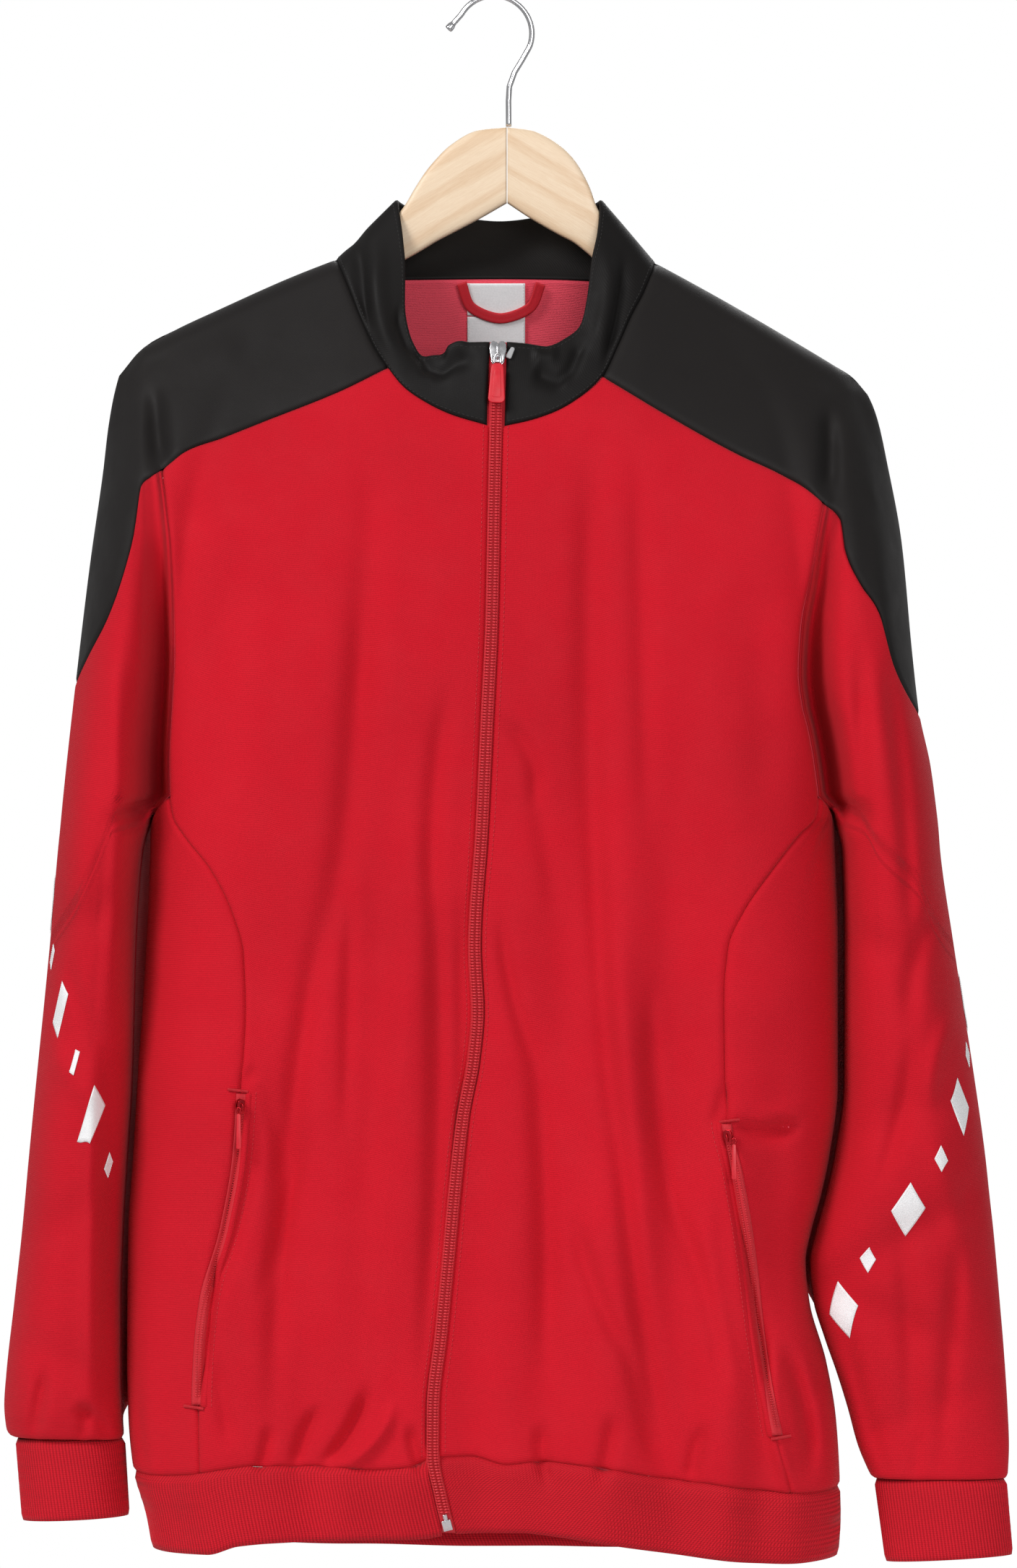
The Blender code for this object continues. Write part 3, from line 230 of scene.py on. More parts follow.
# Soft folds hanging down the body; a depth below nothing is a valley
FOLDS = {
    -1: table(
        "top_x top_z low_x low_z width depth",
        (-72, -320, -58, -840, 17, -4.5), (-40, -420, -52, -900, 15, 4), (-20, -400, -8, -880, 15, -4),
        (52, -320, 26, -850, 17, -5), (76, -400, 62, -900, 18, 4.5), (98, -340, 104, -900, 17, -5.5),
        (-120, -560, -100, -900, 15, -5), (-150, -300, -158, -460, 14, -4), (146, -310, 152, -460, 14, -4),
        (132, -620, 128, -900, 14, 4), (162, -560, 148, -900, 13, -4.5), (-172, -620, -186, -900, 13, -4),
    ),
    1: table(
        "top_x top_z low_x low_z width depth",
        (-118, -260, -96, -900, 20, -5), (-52, -330, -66, -900, 18, 4), (-12, -300, -22, -900, 20, -5.5),
        (40, -420, 30, -900, 17, 4), (84, -280, 70, -900, 20, -5.5), (140, -480, 126, -900, 16, -4.5),
        (-160, -560, -150, -900, 15, 4),
    ),
}
# Folds across the sleeves: height, slope, width and depth
SLEEVE_FOLDS = table(
    "side at_z slope width depth",
    (-1, -520, 0.5, 13, -3.5), (-1, -590, -0.6, 15, -3.5), (-1, -688, 0.5, 14, -3),
    (-1, -770, -0.4, 12, -2.6), (1, -545, -0.5, 13, -3.5), (1, -628, 0.4, 15, -4),
    (1, -700, 0.6, 14, -4.5), (1, -752, -0.5, 13, -4), (1, -800, 0.4, 11, -2.6),
)

# Upper and lower edge of each wooden arm
WOOD = {
    "right": table(
        "x top bottom",
        (7.2, -73.2, -116.2), (-9, -74.9, -125.5), (-24.2, -82.9, -133.5), (-32.8, -91.1, -138),
        (-39.4, -99.2, -142), (-45.1, -108, -145.3), (-51, -118, -148.5), (-60, -128.6, -153),
        (-72, -139.2, -160), (-89, -152, -169), (-116.4, -162, -182), (-157.4, -179.9, -202),
        (-180, -190.4, -212), (-194, -198.2, -216),
    ),
    "left": table(
        "x top bottom",
        (7.6, -73.2, -116.2), (20.9, -74.9, -125), (36.5, -82.9, -134), (45.1, -91.1, -138.5),
        (50.4, -99.2, -142.5), (54.6, -108, -146), (58.6, -119, -150), (67, -129.6, -155),
        (78, -140.5, -163), (91, -153.6, -171), (129.6, -174, -194), (165, -194.2, -216),
        (180, -203.2, -222), (190, -210, -224),
    ),
}

# Where each sleeve's inner fold starts and stops slipping in behind the body, and how far past its edge
TUCKS = {"right": (-440.0, -812.0, 2.2), "left": (-440.0, -752.0, 2.2)}

# Middle line of the hook's stem
HOOK_STEM = table(
    "x z",
    (8.3, -72.7), (8.2, -58), (8.7, -50), (11.6, -42), (16, -34.8), (19.6, -28.4),
)

# Cuffs: each measure at the opening and at the seam, and how far the opening tilts
CUFFS = {
    "right": {"inner": (206.8, 209.4), "outer": (268.0, 271.8), "deep": (27.0, 28.0), "tilt": 1.5},
    "left": {"inner": (222.0, 215.6), "outer": (294.6, 291.0), "deep": (19.0, 19.6), "tilt": -2.0},
}

# Middle line of the hanging loop
LOOP = table(
    "k x z",
    (0, -18.6, -158.9), (1, -13.8, -171.6), (2, 3.6, -178.6), (3, 21.4, -171.8), (4, 26.6, -159.2),
)
LOOP_WIDTH = 5.8

# Upper and lower end of each pocket zip
POCKETS = {"right": (-619.0, -794.0), "left": (-636.0, -811.0)}

# Labels inside the neck: low and high edge
LABELS = {"neck_label": (-177.6, -159.6), "size_label": (-193.4, -178.2)}
LABEL_X = 1.2
LABEL_HALF = 16.5

# Sleeve lozenges: start and end of the chain by share round the sleeve and height, how many, and their sizes
FIGURES = {"right": (0.24, -455.0, -0.74, -660.0, 8), "left": (0.24, -512.0, -0.76, -742.0, 9)}
FIGURE_SIZES = ((20.0, 33.0), (10.0, 15.0))

# Creases in front (-1) and behind (1): a line in x and z, its bow sideways, its width and its depth
CREASES = {
    -1: table(
        "x1 z1 x2 z2 bow width depth",
        (-68, -266, -74, -411, 0, 9.1, -1.6), (-74, -338, -94, -545, 4, 8.4, -3.2),
        (-95, -513, -124, -800, -6, 6.8, -3.4), (-103, -638, -131, -735, 0, 4.6, -1.6),
        (-80, -504, -83, -638, 0, 4.6, -1.8), (-26, -395, -35, -517, -3, 6.1, -2.6),
        (-34, -484, -40, -776, 5, 6.1, -3.2), (-50, -533, -66, -812, 0, 10.6, 2.4),
        (-18, -513, -18, -638, 0, 4.6, -1.2), (-96, -828, -71, -786, -3, 4, -4.2),
        (-84, -828, -56, -794, -4, 4, 3), (-112, -829, -99, -796, 2, 3.5, -3),
        (-134, -638, -161, -741, 5, 5, -2.6), (-129, -614, -120, -670, 3, 5, -1.4),
        (-141, -614, -132, -606, 1, 3, -1.4), (-155, -768, -148, -816, 0, 5.3, -2),
        (-204, -788, -197, -835, 0, 3.5, -2.4), (55, -266, 56, -492, -2, 8.4, -3),
        (56, -452, 72, -670, -3, 6.8, -3.6), (71, -638, 97, -830, -3, 6.1, -3.8),
        (67, -533, 88, -743, 0, 9.1, 2), (81, -266, 86, -472, 0, 6.8, -2),
        (88, -565, 105, -703, -5, 5, -2.4), (104, -687, 128, -788, 4, 5.3, -2.4),
        (7, -411, 24, -456, 6, 4.6, -2), (21, -436, 35, -517, 0, 6.1, -1.4),
        (4, -521, 24, -606, -3, 4.6, -2.4), (22, -581, 29, -776, 3, 6.8, -3),
        (45, -691, 76, -768, -3, 5.3, -3), (73, -755, 90, -828, 0, 4.6, -2),
        (128, -670, 140, -776, -4, 6.8, -2.2), (164, -764, 178, -832, 4, 5, -4.6),
        (180, -735, 184, -792, 3, 5, -3), (156, -768, 166, -838, -4, 5, 3.4),
        (133, -637, 172, -635, -5, 4.6, -4.4), (148, -633, 176, -630, 0, 5, 1.8),
        (128, -614, 122, -638, 2, 4, -1.6), (185, -456, 193, -517, 2, 5, -1.6),
        (-211, -383, -216, -573, 4, 6.8, 3), (-200, -371, -202, -581, 0, 7.6, -4.5),
        (-225, -581, -227, -810, 0, 6.1, 3), (-216, -602, -215, -810, 0, 6.8, -3.2),
        (-238, -545, -216, -593, -5, 5.3, -2), (-249, -589, -220, -626, -4, 6.1, 1.6),
        (-236, -798, -216, -815, 3, 4, -3.2), (-261, -816, -253, -776, 0, 4, -3),
        (-205, -755, -200, -808, 0, 5, -1.6), (220, -371, 234, -533, 2, 5.3, -3),
        (205, -371, 207, -492, 0, 5.3, -2.4), (215, -290, 225, -395, 0, 6.8, 2),
        (250, -513, 234, -581, -6, 6.1, -2.6), (260, -573, 245, -630, -5, 5.3, 2.2),
        (234, -589, 216, -670, 4, 5.3, -2.4), (199, -755, 224, -838, -3, 4.2, -3.6),
        (229, -695, 234, -830, 3, 6.1, -2.4), (262, -703, 252, -838, 0, 5.3, -3),
        (245, -638, 271, -735, 0, 7.6, 1.8), (207, -838, 219, -804, 0, 4, -3.4),
        (-193, -217, -187, -270, 0, 6.1, -5), (190, -231, 188, -286, 0, 6.1, -5),
        (203, -233, 215, -290, 3, 6.8, 2), (-180, -209, -143, -197, 0, 10.6, 1.6),
        (-139.5, -620, -158, -722, 2, 2.4, -2.6), (-156, -705, -166, -796, 1.5, 2.4, -2.8),
        (129, -640, 160, -812, -1, 2.6, -3.4), (142, -694, 158, -800, 0, 4.6, -1.8),
        (-40, -832, -47, -806, 1, 3.5, -2.6), (-132, -831, -126, -806, -1, 3.5, -2.4),
        (30, -838, 26, -806, 1, 4, -2.6), (58, -838, 66, -800, -2, 4.5, -3),
        (110, -838, 118, -806, 1, 4, -2.6), (238, -838, 240, -812, 0, 3.5, -2.6),
        (-232, -816, -230, -794, 0, 3.5, -2.4),
    ),
    1: table(
        "x1 z1 x2 z2 bow width depth",
        (-110, -300, -132, -560, 6, 8.4, -3.4), (-76, -260, -60, -520, -4, 7.6, -2.4),
        (-40, -420, -52, -800, 5, 6.8, -3.4), (6, -240, -2, -470, 0, 9.1, -2.2),
        (18, -500, 26, -815, -6, 6.1, -3.2), (62, -300, 78, -640, 5, 7.6, -3),
        (104, -420, 92, -800, -5, 6.8, -3.4), (128, -560, 146, -820, 4, 5.3, -2.4),
        (-142, -560, -120, -822, -5, 5.3, -2.6), (-88, -640, -96, -828, 3, 4.6, -2.2),
        (60, -700, 52, -828, 0, 4.6, -2), (-150, -470, -176, -530, 4, 4.6, -2.2),
        (150, -478, 172, -545, -4, 4.6, -2.2), (-20, -828, -8, -792, 3, 4, -2.2),
        (112, -830, 120, -798, -2, 4, -2), (-160, -826, -150, -800, 2, 4, -1.8),
        (-206, -330, -214, -560, 5, 6.8, -3.4), (-232, -420, -226, -700, -6, 6.1, 2.4),
        (-216, -600, -238, -800, 4, 5.3, -2.8), (-244, -560, -212, -600, 5, 4.6, -2.2),
        (-250, -690, -214, -664, -4, 4.6, -2), (-254, -812, -240, -776, 0, 4, -2),
        (-222, -812, -228, -790, 0, 4, -1.6), (214, -320, 224, -560, -4, 6.8, -3.2),
        (242, -430, 248, -680, 5, 6.1, 2.2), (212, -596, 256, -566, 5, 4.6, -2.4),
        (262, -650, 206, -700, 6, 5.3, -2.8), (230, -700, 252, -826, 4, 5.3, -2.6),
        (268, -832, 262, -800, 0, 4, -1.8), (-188, -230, -184, -290, 0, 6.1, -4),
        (186, -240, 184, -300, 0, 6.1, -4),
    ),
}

CREASE_STRENGTH = 1.8
# Valleys between body and sleeve: where they start, how much of the depth goes, how far beside the
# seam, how wide
VALLEYS = {"right": (-262.0, 0.88, 5.6, 6.4), "left": (-262.0, 0.8, 5.4, 6.0)}

# Slumps of the collar: a line by row and share up the band, its bow, its width and its depth in millimetres
COLLAR_SLUMPS = table(
    "row1 up1 row2 up2 bow width depth",
    (3.2, 1.02, 2, 0.56, 0, 6, -3.6), (2, 0.56, 0.5, 0.82, 0, 6, -3.6), (1.6, 0.97, 0.7, 0.97, 0, 7, 2.4),
    (8, 0.36, 5.6, 0.04, 0, 6, -3.4), (7.4, 0.52, 4, 0.36, 3, 9, 3.2), (5.2, 0.75, 3.4, 0.82, 0, 6, -2.2),
    (16.8, 0.42, 19.7, 0.08, 0, 6, -3.8), (17.2, 0.7, 19.8, 0.45, -3, 9, 3.2),
    (20.3, 0.78, 21.4, 0.36, 0, 6, -3.6), (21.4, 0.36, 22.7, 0.64, 0, 6, -3.6),
    (22.8, 0.86, 21.5, 0.84, 0, 6, 2.4), (9.6, 0.5, 14.4, 0.56, 0, 12, -1.6),
    (12, 0.2, 12.8, 0.9, 3, 8, 1.4),
)
ROW_LONG, BAND_TALL = 15.0, 47.0


def curve(rows, start, end, at):
    """Smooth line through a table's rows that never overshoots them."""
    x = rows[start]
    y = rows[end]
    if x[0] > x[-1]:
        x = x[::-1]
        y = y[::-1]
    step = np.diff(x)
    rise = np.diff(y) / step
    same = rise[1:] * rise[:-1] > 0
    total = np.where(same, rise[1:] + rise[:-1], 1.0)
    slope = np.concatenate([rise[:1], np.where(same, 2 * rise[1:] * rise[:-1] / total, 0.0), rise[-1:]])
    at = np.clip(at, x[0], x[-1])
    k = np.clip(np.searchsorted(x, at, side="right") - 1, 0, len(x) - 2)
    t = (at - x[k]) / step[k]
    a = y[k] * (1 + 2 * t) * (1 - t) ** 2 + y[k + 1] * t * t * (3 - 2 * t)
    return a + step[k] * t * (1 - t) * (slope[k] * (1 - t) - slope[k + 1] * t)


def mix(a, b, t):
    return a + (b - a) * t


def quarter(t):
    """Quarter circle: upright at 0, level from 1 on."""
    return np.sqrt(np.clip(1 - (1 - np.clip(t, 0, 1)) ** 2, 0, 1))


def smooth(t):
    """0 up to 0 and 1 from 1 on, with a soft start and end."""
    t = np.clip(t, 0, 1)
    return t * t * (3 - 2 * t)


def bell(away, width):
    return np.exp(-((away / width) ** 2))


def by_side(x, right, left):
    return np.where(x < 0, right, left)


def sided(tables, column, x, z):
    """A column at each height, from the right or the left table as x lies."""
    return by_side(x, *(curve(tables[side], "z", column, z) for side in SIGN))


def xyz(x, y, z):
    return np.stack([x, y, z], axis=-1)


def ridge_z(x):
    """Height of the shoulder line over each x."""
    out = []
    for side in SIGN:
        line = {axis: np.concatenate([NECK_RIDGE[axis], SHOULDER[side]["ridge_" + axis][:-1]])
                for axis in "xz"}
        fall = np.maximum(np.abs(x) - line["x"][-1], 0)
        out.append(curve(line, "x", "z", np.abs(x)) - 0.9 * fall)
    return by_side(x, *out)


def fold_depth(x, z, face):
    total = np.zeros_like(x)
    for top_x, top_z, low_x, low_z, width, depth in zip(*FOLDS[face].values()):
        t = (top_z - z) / (top_z - low_z)
        fade = smooth(t / 0.35) * np.clip((1.15 - t) / 0.3, 0, 1)
        total = total + depth * fade * bell(x - mix(top_x, low_x, np.clip(t, 0, 1)), width)
    return total


def sleeve_fold_depth(x, z, centre):
    total = np.zeros_like(x)
    for side, at_z, slope, width, depth in zip(*SLEEVE_FOLDS.values()):
        line = at_z + slope * (x - centre)
        total = total + np.where(np.sign(x) == side, depth * bell(z - line, width), 0.0)
    return total


def crease_lines(lines, x, z):
    """Summed depth of creases laid along bowed lines (x1, z1, x2, z2, bow, width, depth)."""
    total = np.zeros_like(x)
    for x1, z1, x2, z2, bow, width, depth in lines:
        dx = x2 - x1
        dz = z2 - z1
        long = math.hypot(dx, dz)
        t = ((x - x1) * dx + (z - z1) * dz) / long**2
        away = ((x - x1) * dz - (z - z1) * dx) / long
        ends = smooth(np.clip((t + 0.12) / 0.4, 0, 1) * np.clip((1.12 - t) / 0.4, 0, 1))
        total = total + depth * ends * bell(away + bow * 4 * t * (1 - t), width)
    return total


def armhole_valley(x, z, face):
    """The share by which the sleeve falls away behind the edge of the body, more towards the underarm."""
    total = np.zeros_like(x)
    for side, sign in SIGN.items():
        start, share, beside, width = VALLEYS[side]
        share = share * smooth((start - z) / (start - PIT_TOP)) * smooth((z - PIT_Z + 6) / 26)
        away = sign * x - armhole_x(z, side) - beside
        width = np.where(away < 0, width * 0.6, width * 1.5)
        total = total + np.where(sign * x > 0, share * bell(away, width), 0.0)
    return total * (1.0 if face < 0 else 0.5)


def collar_slump(row, up):
    """How far the collar stands off its plain form."""
    rows = dict(COLLAR_SLUMPS)
    for end in "12":
        rows["row" + end] = rows["row" + end] * ROW_LONG
        rows["up" + end] = rows["up" + end] * BAND_TALL
    return crease_lines(zip(*rows.values()), row * ROW_LONG, up * BAND_TALL) * smooth(up / 0.12)


def cloth_depth(x, z, face):
    """Distance of the cloth's outer face from the hanging plane, in front (-1) or behind (1)."""
    below = np.maximum(ridge_z(x) - z, 0)
    roll = RIDGE_ROLL * quarter(below / RIDGE_ROLL)
    fall = np.sin(np.pi / 2 * np.clip(below / DRAPE, 0, 1))
    full = sided(TORSO, "front" if face < 0 else "back", x, z)
    inside = np.maximum(sided(TORSO, "edge", x, z) - np.abs(x), 0)
    body = roll * quarter(inside / RIDGE_ROLL) + (full - RIDGE_ROLL) * fall * quarter(inside / SIDE_ROLL)
    body = body + fold_depth(x, z, face) * np.clip(body / 45, 0, 1) ** 2
    inner, outer, deep = (sided(SLEEVE, column, x, z) for column in ("inner", "outer", "half_depth"))
    centre = (inner + outer) / 2
    off = (np.abs(x) - centre) / ((outer - inner) / 2)
    power = np.where(off < 0, ARM_INNER, 2.0)
    arm = (roll + (deep - RIDGE_ROLL) * fall) * np.clip(1 - np.abs(off) ** power, 0, 1) ** (1 / power)
    arm = arm + sleeve_fold_depth(x, z, by_side(x, -centre, centre)) * np.clip(arm / 40, 0, 1)
    high = np.maximum(body, arm)
    share = np.minimum(body, arm) / np.maximum(high, 1e-9)
    depth = high * (1 + share**UNION) ** (1 / UNION)
    creases = CREASE_STRENGTH * crease_lines(zip(*CREASES[face].values()), x, z)
    return (depth + creases * np.clip(depth / 40, 0, 1) ** 2) * (1 - armhole_valley(x, z, face))


def cloth(x, z, face):
    return xyz(x, face * cloth_depth(x, z, face), z)


def cloth_round(front, x, z):
    """Points on the cloth, in front of the hanging plane where front is true and behind it elsewhere."""
    return np.where(front[..., None], cloth(x, z, -1), cloth(x, z, 1))


def zip_x(z):
    return curve(ZIP, "z", "x", z)


def seam_x(z, side):
    return curve(SEAMS[side], "z", "x", z)


def hem_z(x, face, column):
    if face < 0:
        return curve(HEM, "x", column, x)
    share = (x + 206) / 403
    return mix(HEM[column][0], HEM[column][-1], np.clip(share, 0, 1)) - 2.0 * np.sin(np.pi * share)


def neck(row, column):
    rows = {"row": np.arange(len(COLLAR["base_x"]), dtype=float), "value": COLLAR[column]}
    return curve(rows, "row", "value", row)


NECK_ROWS = np.linspace(0, len(COLLAR["base_x"]) - 1, 481)


def top_seam_z(x, face, side):
    """Neck seam, then yoke seam, over each x of a front or back panel."""
    column = "front" if face < 0 else "back"
    yoke = {axis: SHOULDER[side][column + "_" + axis] for axis in "xz"}
    if face > 0:
        pick = (NECK_ROWS >= ROW_BACK["right"]) & (NECK_ROWS <= ROW_BACK["left"])
    elif side == "right":
        pick = NECK_ROWS <= ROW_SHOULDER["right"]
    else:
        pick = NECK_ROWS >= ROW_SHOULDER["left"]
    line_x = neck(NECK_ROWS[pick], "base_x")
    order = np.argsort(line_x)
    at_neck = np.interp(x, line_x[order], neck(NECK_ROWS[pick], "base_z")[order])
    out = SIGN[side] * x
    corner = yoke["x"][0]
    return np.where(out < corner, at_neck, curve(yoke, "x", "z", np.maximum(out, corner)))


def armhole_x(z, side):
    """The armhole seam, turning out to the underarm at its foot."""
    foot = np.clip((z - PIT_Z) / (PIT_TOP - PIT_Z), 0, 1) ** 2
    low = mix(curve(TORSO[side], "z", "edge", z), seam_x(z, side), foot)
    return np.where(z > PIT_TOP, seam_x(z, side), low)


def climb(low, high, t):
    """Height at t: 0 at the hem seam, 1 level with the armhole's foot, 2 at the top seam."""
    return np.where(t <= 1, mix(low, PIT_TOP, t), mix(PIT_TOP, high, t - 1))


def front_surface(side):
    sign = SIGN[side]

    def surface(s, t):
        """s from the zip to the side seam, t climbing from the hem seam."""
        low_x = mix(zip_x(HEM_LEVEL) + sign * ZIP_GAP, sign * (seam_x(HEM_LEVEL, side) - SEAM / 2), s)
        high_x = mix(1.0 + sign * ZIP_GAP, sign * (SEAMS[side]["x"][0] - SEAM / 2), s)
        z = climb(hem_z(low_x, -1, "seam") + SEAM / 2, top_seam_z(high_x, -1, side) - SEAM / 2, t)
        return cloth(mix(zip_x(z) + sign * ZIP_GAP, sign * (seam_x(z, side) - SEAM), s), z, -1)

    return surface


def back_surface(s, t):
    """s from -1 at the right side seam to 1 at the left, t climbing from the hem seam."""
    share = (s + 1) / 2
    low_x = mix(-seam_x(HEM_LEVEL, "right") + SEAM / 2, seam_x(HEM_LEVEL, "left") - SEAM / 2, share)
    high_x = mix(-SEAMS["right"]["x"][0] + SEAM / 2, SEAMS["left"]["x"][0] - SEAM / 2, share)
    high = by_side(high_x, *(top_seam_z(high_x, 1, side) for side in SIGN)) - SEAM
    z = climb(hem_z(low_x, 1, "seam") + SEAM / 2, high, t)
    return cloth(mix(-seam_x(z, "right") + SEAM, seam_x(z, "left") - SEAM, share), z, 1)


def side_surface(side):
    def surface(s, t):
        """s from -1 at the front seam round the side to 1 at the back seam."""
        turn = 1 - np.cos(np.pi / 2 * np.abs(s))
        top = mix(PIT_Z, PIT_TOP, np.sqrt(np.clip(turn, 0, 1))) - 1.6 * SEAM
        low_x = SIGN[side] * mix(curve(TORSO[side], "z", "edge", HEM_LEVEL), seam_x(HEM_LEVEL, side), turn)
        z = mix(by_side(s, hem_z(low_x, -1, "seam"), hem_z(low_x, 1, "seam")) + SEAM / 2, top, t)
        x = SIGN[side] * mix(curve(TORSO[side], "z", "edge", z), seam_x(z, side) + SEAM / 2, turn)
        return cloth_round(s < 0, x, z)

    return surface


def sleeve_surface(side):
    def surface(s, t):
        """s from the inner seam (-1) round the outside (0) and back, t from the cuff to the top seam."""
        share = (1 + np.cos(np.pi * np.abs(s))) / 2
        top = curve(TONGUE[side], "share", "seam_z", share + 0.004) - SEAM
        z = mix(CUFF_SEAM[side] + SEAM / 2, top, t)
        turn = (1 - np.cos(np.pi * np.abs(s) * MEETING)) / 2
        inner = np.where(z > PIT_Z, armhole_x(z, side) + 1.6 * SEAM, curve(SLEEVE[side], "z", "inner", z))
        x = SIGN[side] * mix(curve(SLEEVE[side], "z", "outer", z), inner, turn)
        points = cloth_round(s < 0, x, z)
        points[..., 0] -= SIGN[side] * sleeve_tuck(side, s, z, points[..., 1])
        return points

    return surface


def sleeve_tuck(side, s, z, y):
    """How far the inner fold of a sleeve slips in behind the body's side edge."""
    inner, outer, deep = (curve(SLEEVE[side], "z", column, z) for column in ("inner", "outer", "half_depth"))
    round_in = (outer - inner) / 2 * (1 - np.sqrt(np.clip(1 - (y / deep) ** 2, 0, 1)))
    start, end, reach = TUCKS[side]
    along = smooth(np.clip((start - z) / 36, 0, 1) * np.clip((z - end) / 26, 0, 1))
    inward = np.clip((np.abs(s) - 0.45) / 0.25, 0, 1)
    gap = inner - curve(TORSO[side], "z", "edge", z) + round_in + reach
    return along * bell(y - 0.6 * deep, 0.27 * deep) * inward * np.maximum(gap, 0)


def yoke_surface(side):
    sign = SIGN[side]
    tongue = TONGUE[side]
    body = {"k": np.linspace(0, 1, len(SHOULDER[side]["ridge_x"])), **SHOULDER[side]}

    def station(u, face):
        """Ridge and seam points at u (0 to 1 on the shoulder, 2 at the tongue's tip), as outward x and z."""
        on_arm = u > 1
        share = (1 + np.cos(np.pi * mix(1.0, TONGUE_END, np.clip(u - 1, 0, 1)))) / 2
        ridge_here = curve(tongue, "share", "ridge_z", share)
        rx = np.where(on_arm, curve(SLEEVE[side], "z", "outer", ridge_here), curve(body, "k", "ridge_x", u))
        rz = np.where(on_arm, ridge_here, curve(body, "k", "ridge_z", u))
        arm_z = curve(tongue, "share", "seam_z", share - 0.004)
        arm_x = mix(armhole_x(arm_z, side) + 1.6 * SEAM, curve(SLEEVE[side], "z", "outer", arm_z), share)
        name = "front" if face < 0 else "back"
        sx = np.where(on_arm, arm_x, curve(body, "k", name + "_x", u))
        sz = np.where(on_arm, arm_z, curve(body, "k", name + "_z", u))
        return rx, rz, sx, sz + SEAM / 2

    def half(u, v, face):
        rx, rz, sx, sz = station(u, face)
        share = np.abs(v) ** 1.6
        row = mix(ROW_RIDGE[side], (ROW_SHOULDER if face < 0 else ROW_BACK)[side], share)
        held = np.clip(1 - u * 5, 0, 1) ** 2
        r0, q0, s0, w0 = station(np.zeros_like(u), face)
        x = mix(rx, sx, share) + held * (np.abs(neck(row, "base_x")) - mix(r0, s0, share) + SEAM / 2)
        z = mix(rz, sz, share) + held * (neck(row, "base_z") - mix(q0, w0 - SEAM / 2, share))
        return cloth(sign * x, z, face)

    def surface(u, v):
        points = np.where((v < 0)[..., None], half(u, v, -1), half(u, v, 1))
        fill = TIP_FILL[side] * np.clip(2 * u - 3, 0, 1) ** 2 * (1 - 0.9 * np.abs(v) ** 1.6)
        return points + xyz(sign * 0.117 * fill, 0 * fill, -fill)

    return surface


def collar_surface(s, t):
    """s in rows of the collar's table, t from the neck seam up."""
    front = (s < ROW_RIDGE["right"]) | (s > ROW_RIDGE["left"])
    base = cloth_round(front, neck(s, "base_x"), neck(s, "base_z"))
    top = xyz(neck(s, "top_x"), neck(s, "top_y"), neck(s, "top_z"))
    sunk = np.where(front, 0.6, 1.8)[..., None]
    base = base - (top - base) / np.linalg.norm(top - base, axis=-1, keepdims=True) * sunk
    points = mix(base, top, t[..., None])
    points[..., 1] -= 2.0 * np.sin(np.pi * t) * np.where(front, 1.0, -1.0)
    return points


def slumped_collar(s, t):
    """The collar's form with its slumps."""
    across = collar_surface(s + 0.02, t) - collar_surface(s - 0.02, t)
    up = collar_surface(s, t + 0.01) - collar_surface(s, t - 0.01)
    return collar_surface(s, t) - unit(np.cross(across, up)) * collar_slump(s, t)[..., None]


def hem_surface(s, t):
    """s from -2 at the zip by the right side (-1) and the back (0) to the left side (1) and the zip (2)."""
    front = np.abs(s) > 1
    sign = by_side(s, -1.0, 1.0)

    def at(z):
        start = np.where(front, zip_x(z) + sign * ZIP_GAP, 0.0)
        return mix(start, sign * sided(TORSO, "edge", s, z), np.where(front, 2 - np.abs(s), np.abs(s)))

    x = at(np.full_like(s, HEM_LEVEL))
    low, high = (np.where(front, hem_z(x, -1, line), hem_z(x, 1, line)) for line in ("bottom", "seam"))
    z = mix(low, high - SEAM / 2, t)
    return cloth_round(front, at(z), z)


def cuff_surface(side):
    rows = CUFFS[side]

    def surface(s, t):
        """s once round the cuff, t from its opening up."""
        angle = s * 2 * np.pi
        top = CUFF_SEAM[side]
        z = mix(top - 45.0, top - 2.5 * SEAM, t) + (1 - t) * rows["tilt"] * np.cos(angle)
        inner, outer, deep = (mix(*rows[name], t) for name in ("inner", "outer", "deep"))
        x = SIGN[side] * ((inner + outer) / 2 - (outer - inner) / 2 * np.cos(angle))
        return xyz(x, deep * np.sin(angle) * -SIGN[side], z)

    return surface


def zip_line(s, t):
    """s across the tape in millimetres, t from the hem's foot to the collar's top."""
    z = mix(ZIP_FOOT, ZIP_TOP, t)
    base_y = -cloth_depth(zip_x(z), np.minimum(z, ZIP_NECK), -1)
    up = np.clip((z - ZIP_NECK) / BAND_TALL, 0, 1)
    return xyz(zip_x(z) + s, mix(base_y, COLLAR["top_y"][0], up) - 2.0 * np.sin(np.pi * up), z)


def zip_t(z):
    return (z - ZIP_FOOT) / (ZIP_TOP - ZIP_FOOT)


def tape_surface(s, t):
    """The zip's tape, which dips under the fronts beside it."""
    points = zip_line(s, t)
    level = np.minimum(points[..., 2], ZIP_NECK)
    sink = cloth_depth(zip_x(level), level, -1) - cloth_depth(zip_x(level) + s, level, -1)
    points[..., 1] += (2.0 + np.clip(sink, 0, 9)) * np.clip((np.abs(s) - 3.3) / 1.2, 0, 1)
    return points


def pocket_surface(side):
    """A strip over the side seam, s across it in millimetres, t from the pocket's foot up."""
    top, low = POCKETS[side]

    def surface(s, t):
        z = mix(low, top, t)
        return cloth(SIGN[side] * (seam_x(z, side) + s), z, -1)

    return surface


def label_surface(low, high):
    """A flat patch of the back's inner face, s across in millimetres."""

    def surface(s, t):
        return cloth(LABEL_X + s, mix(low, high, t), 1)

    return surface


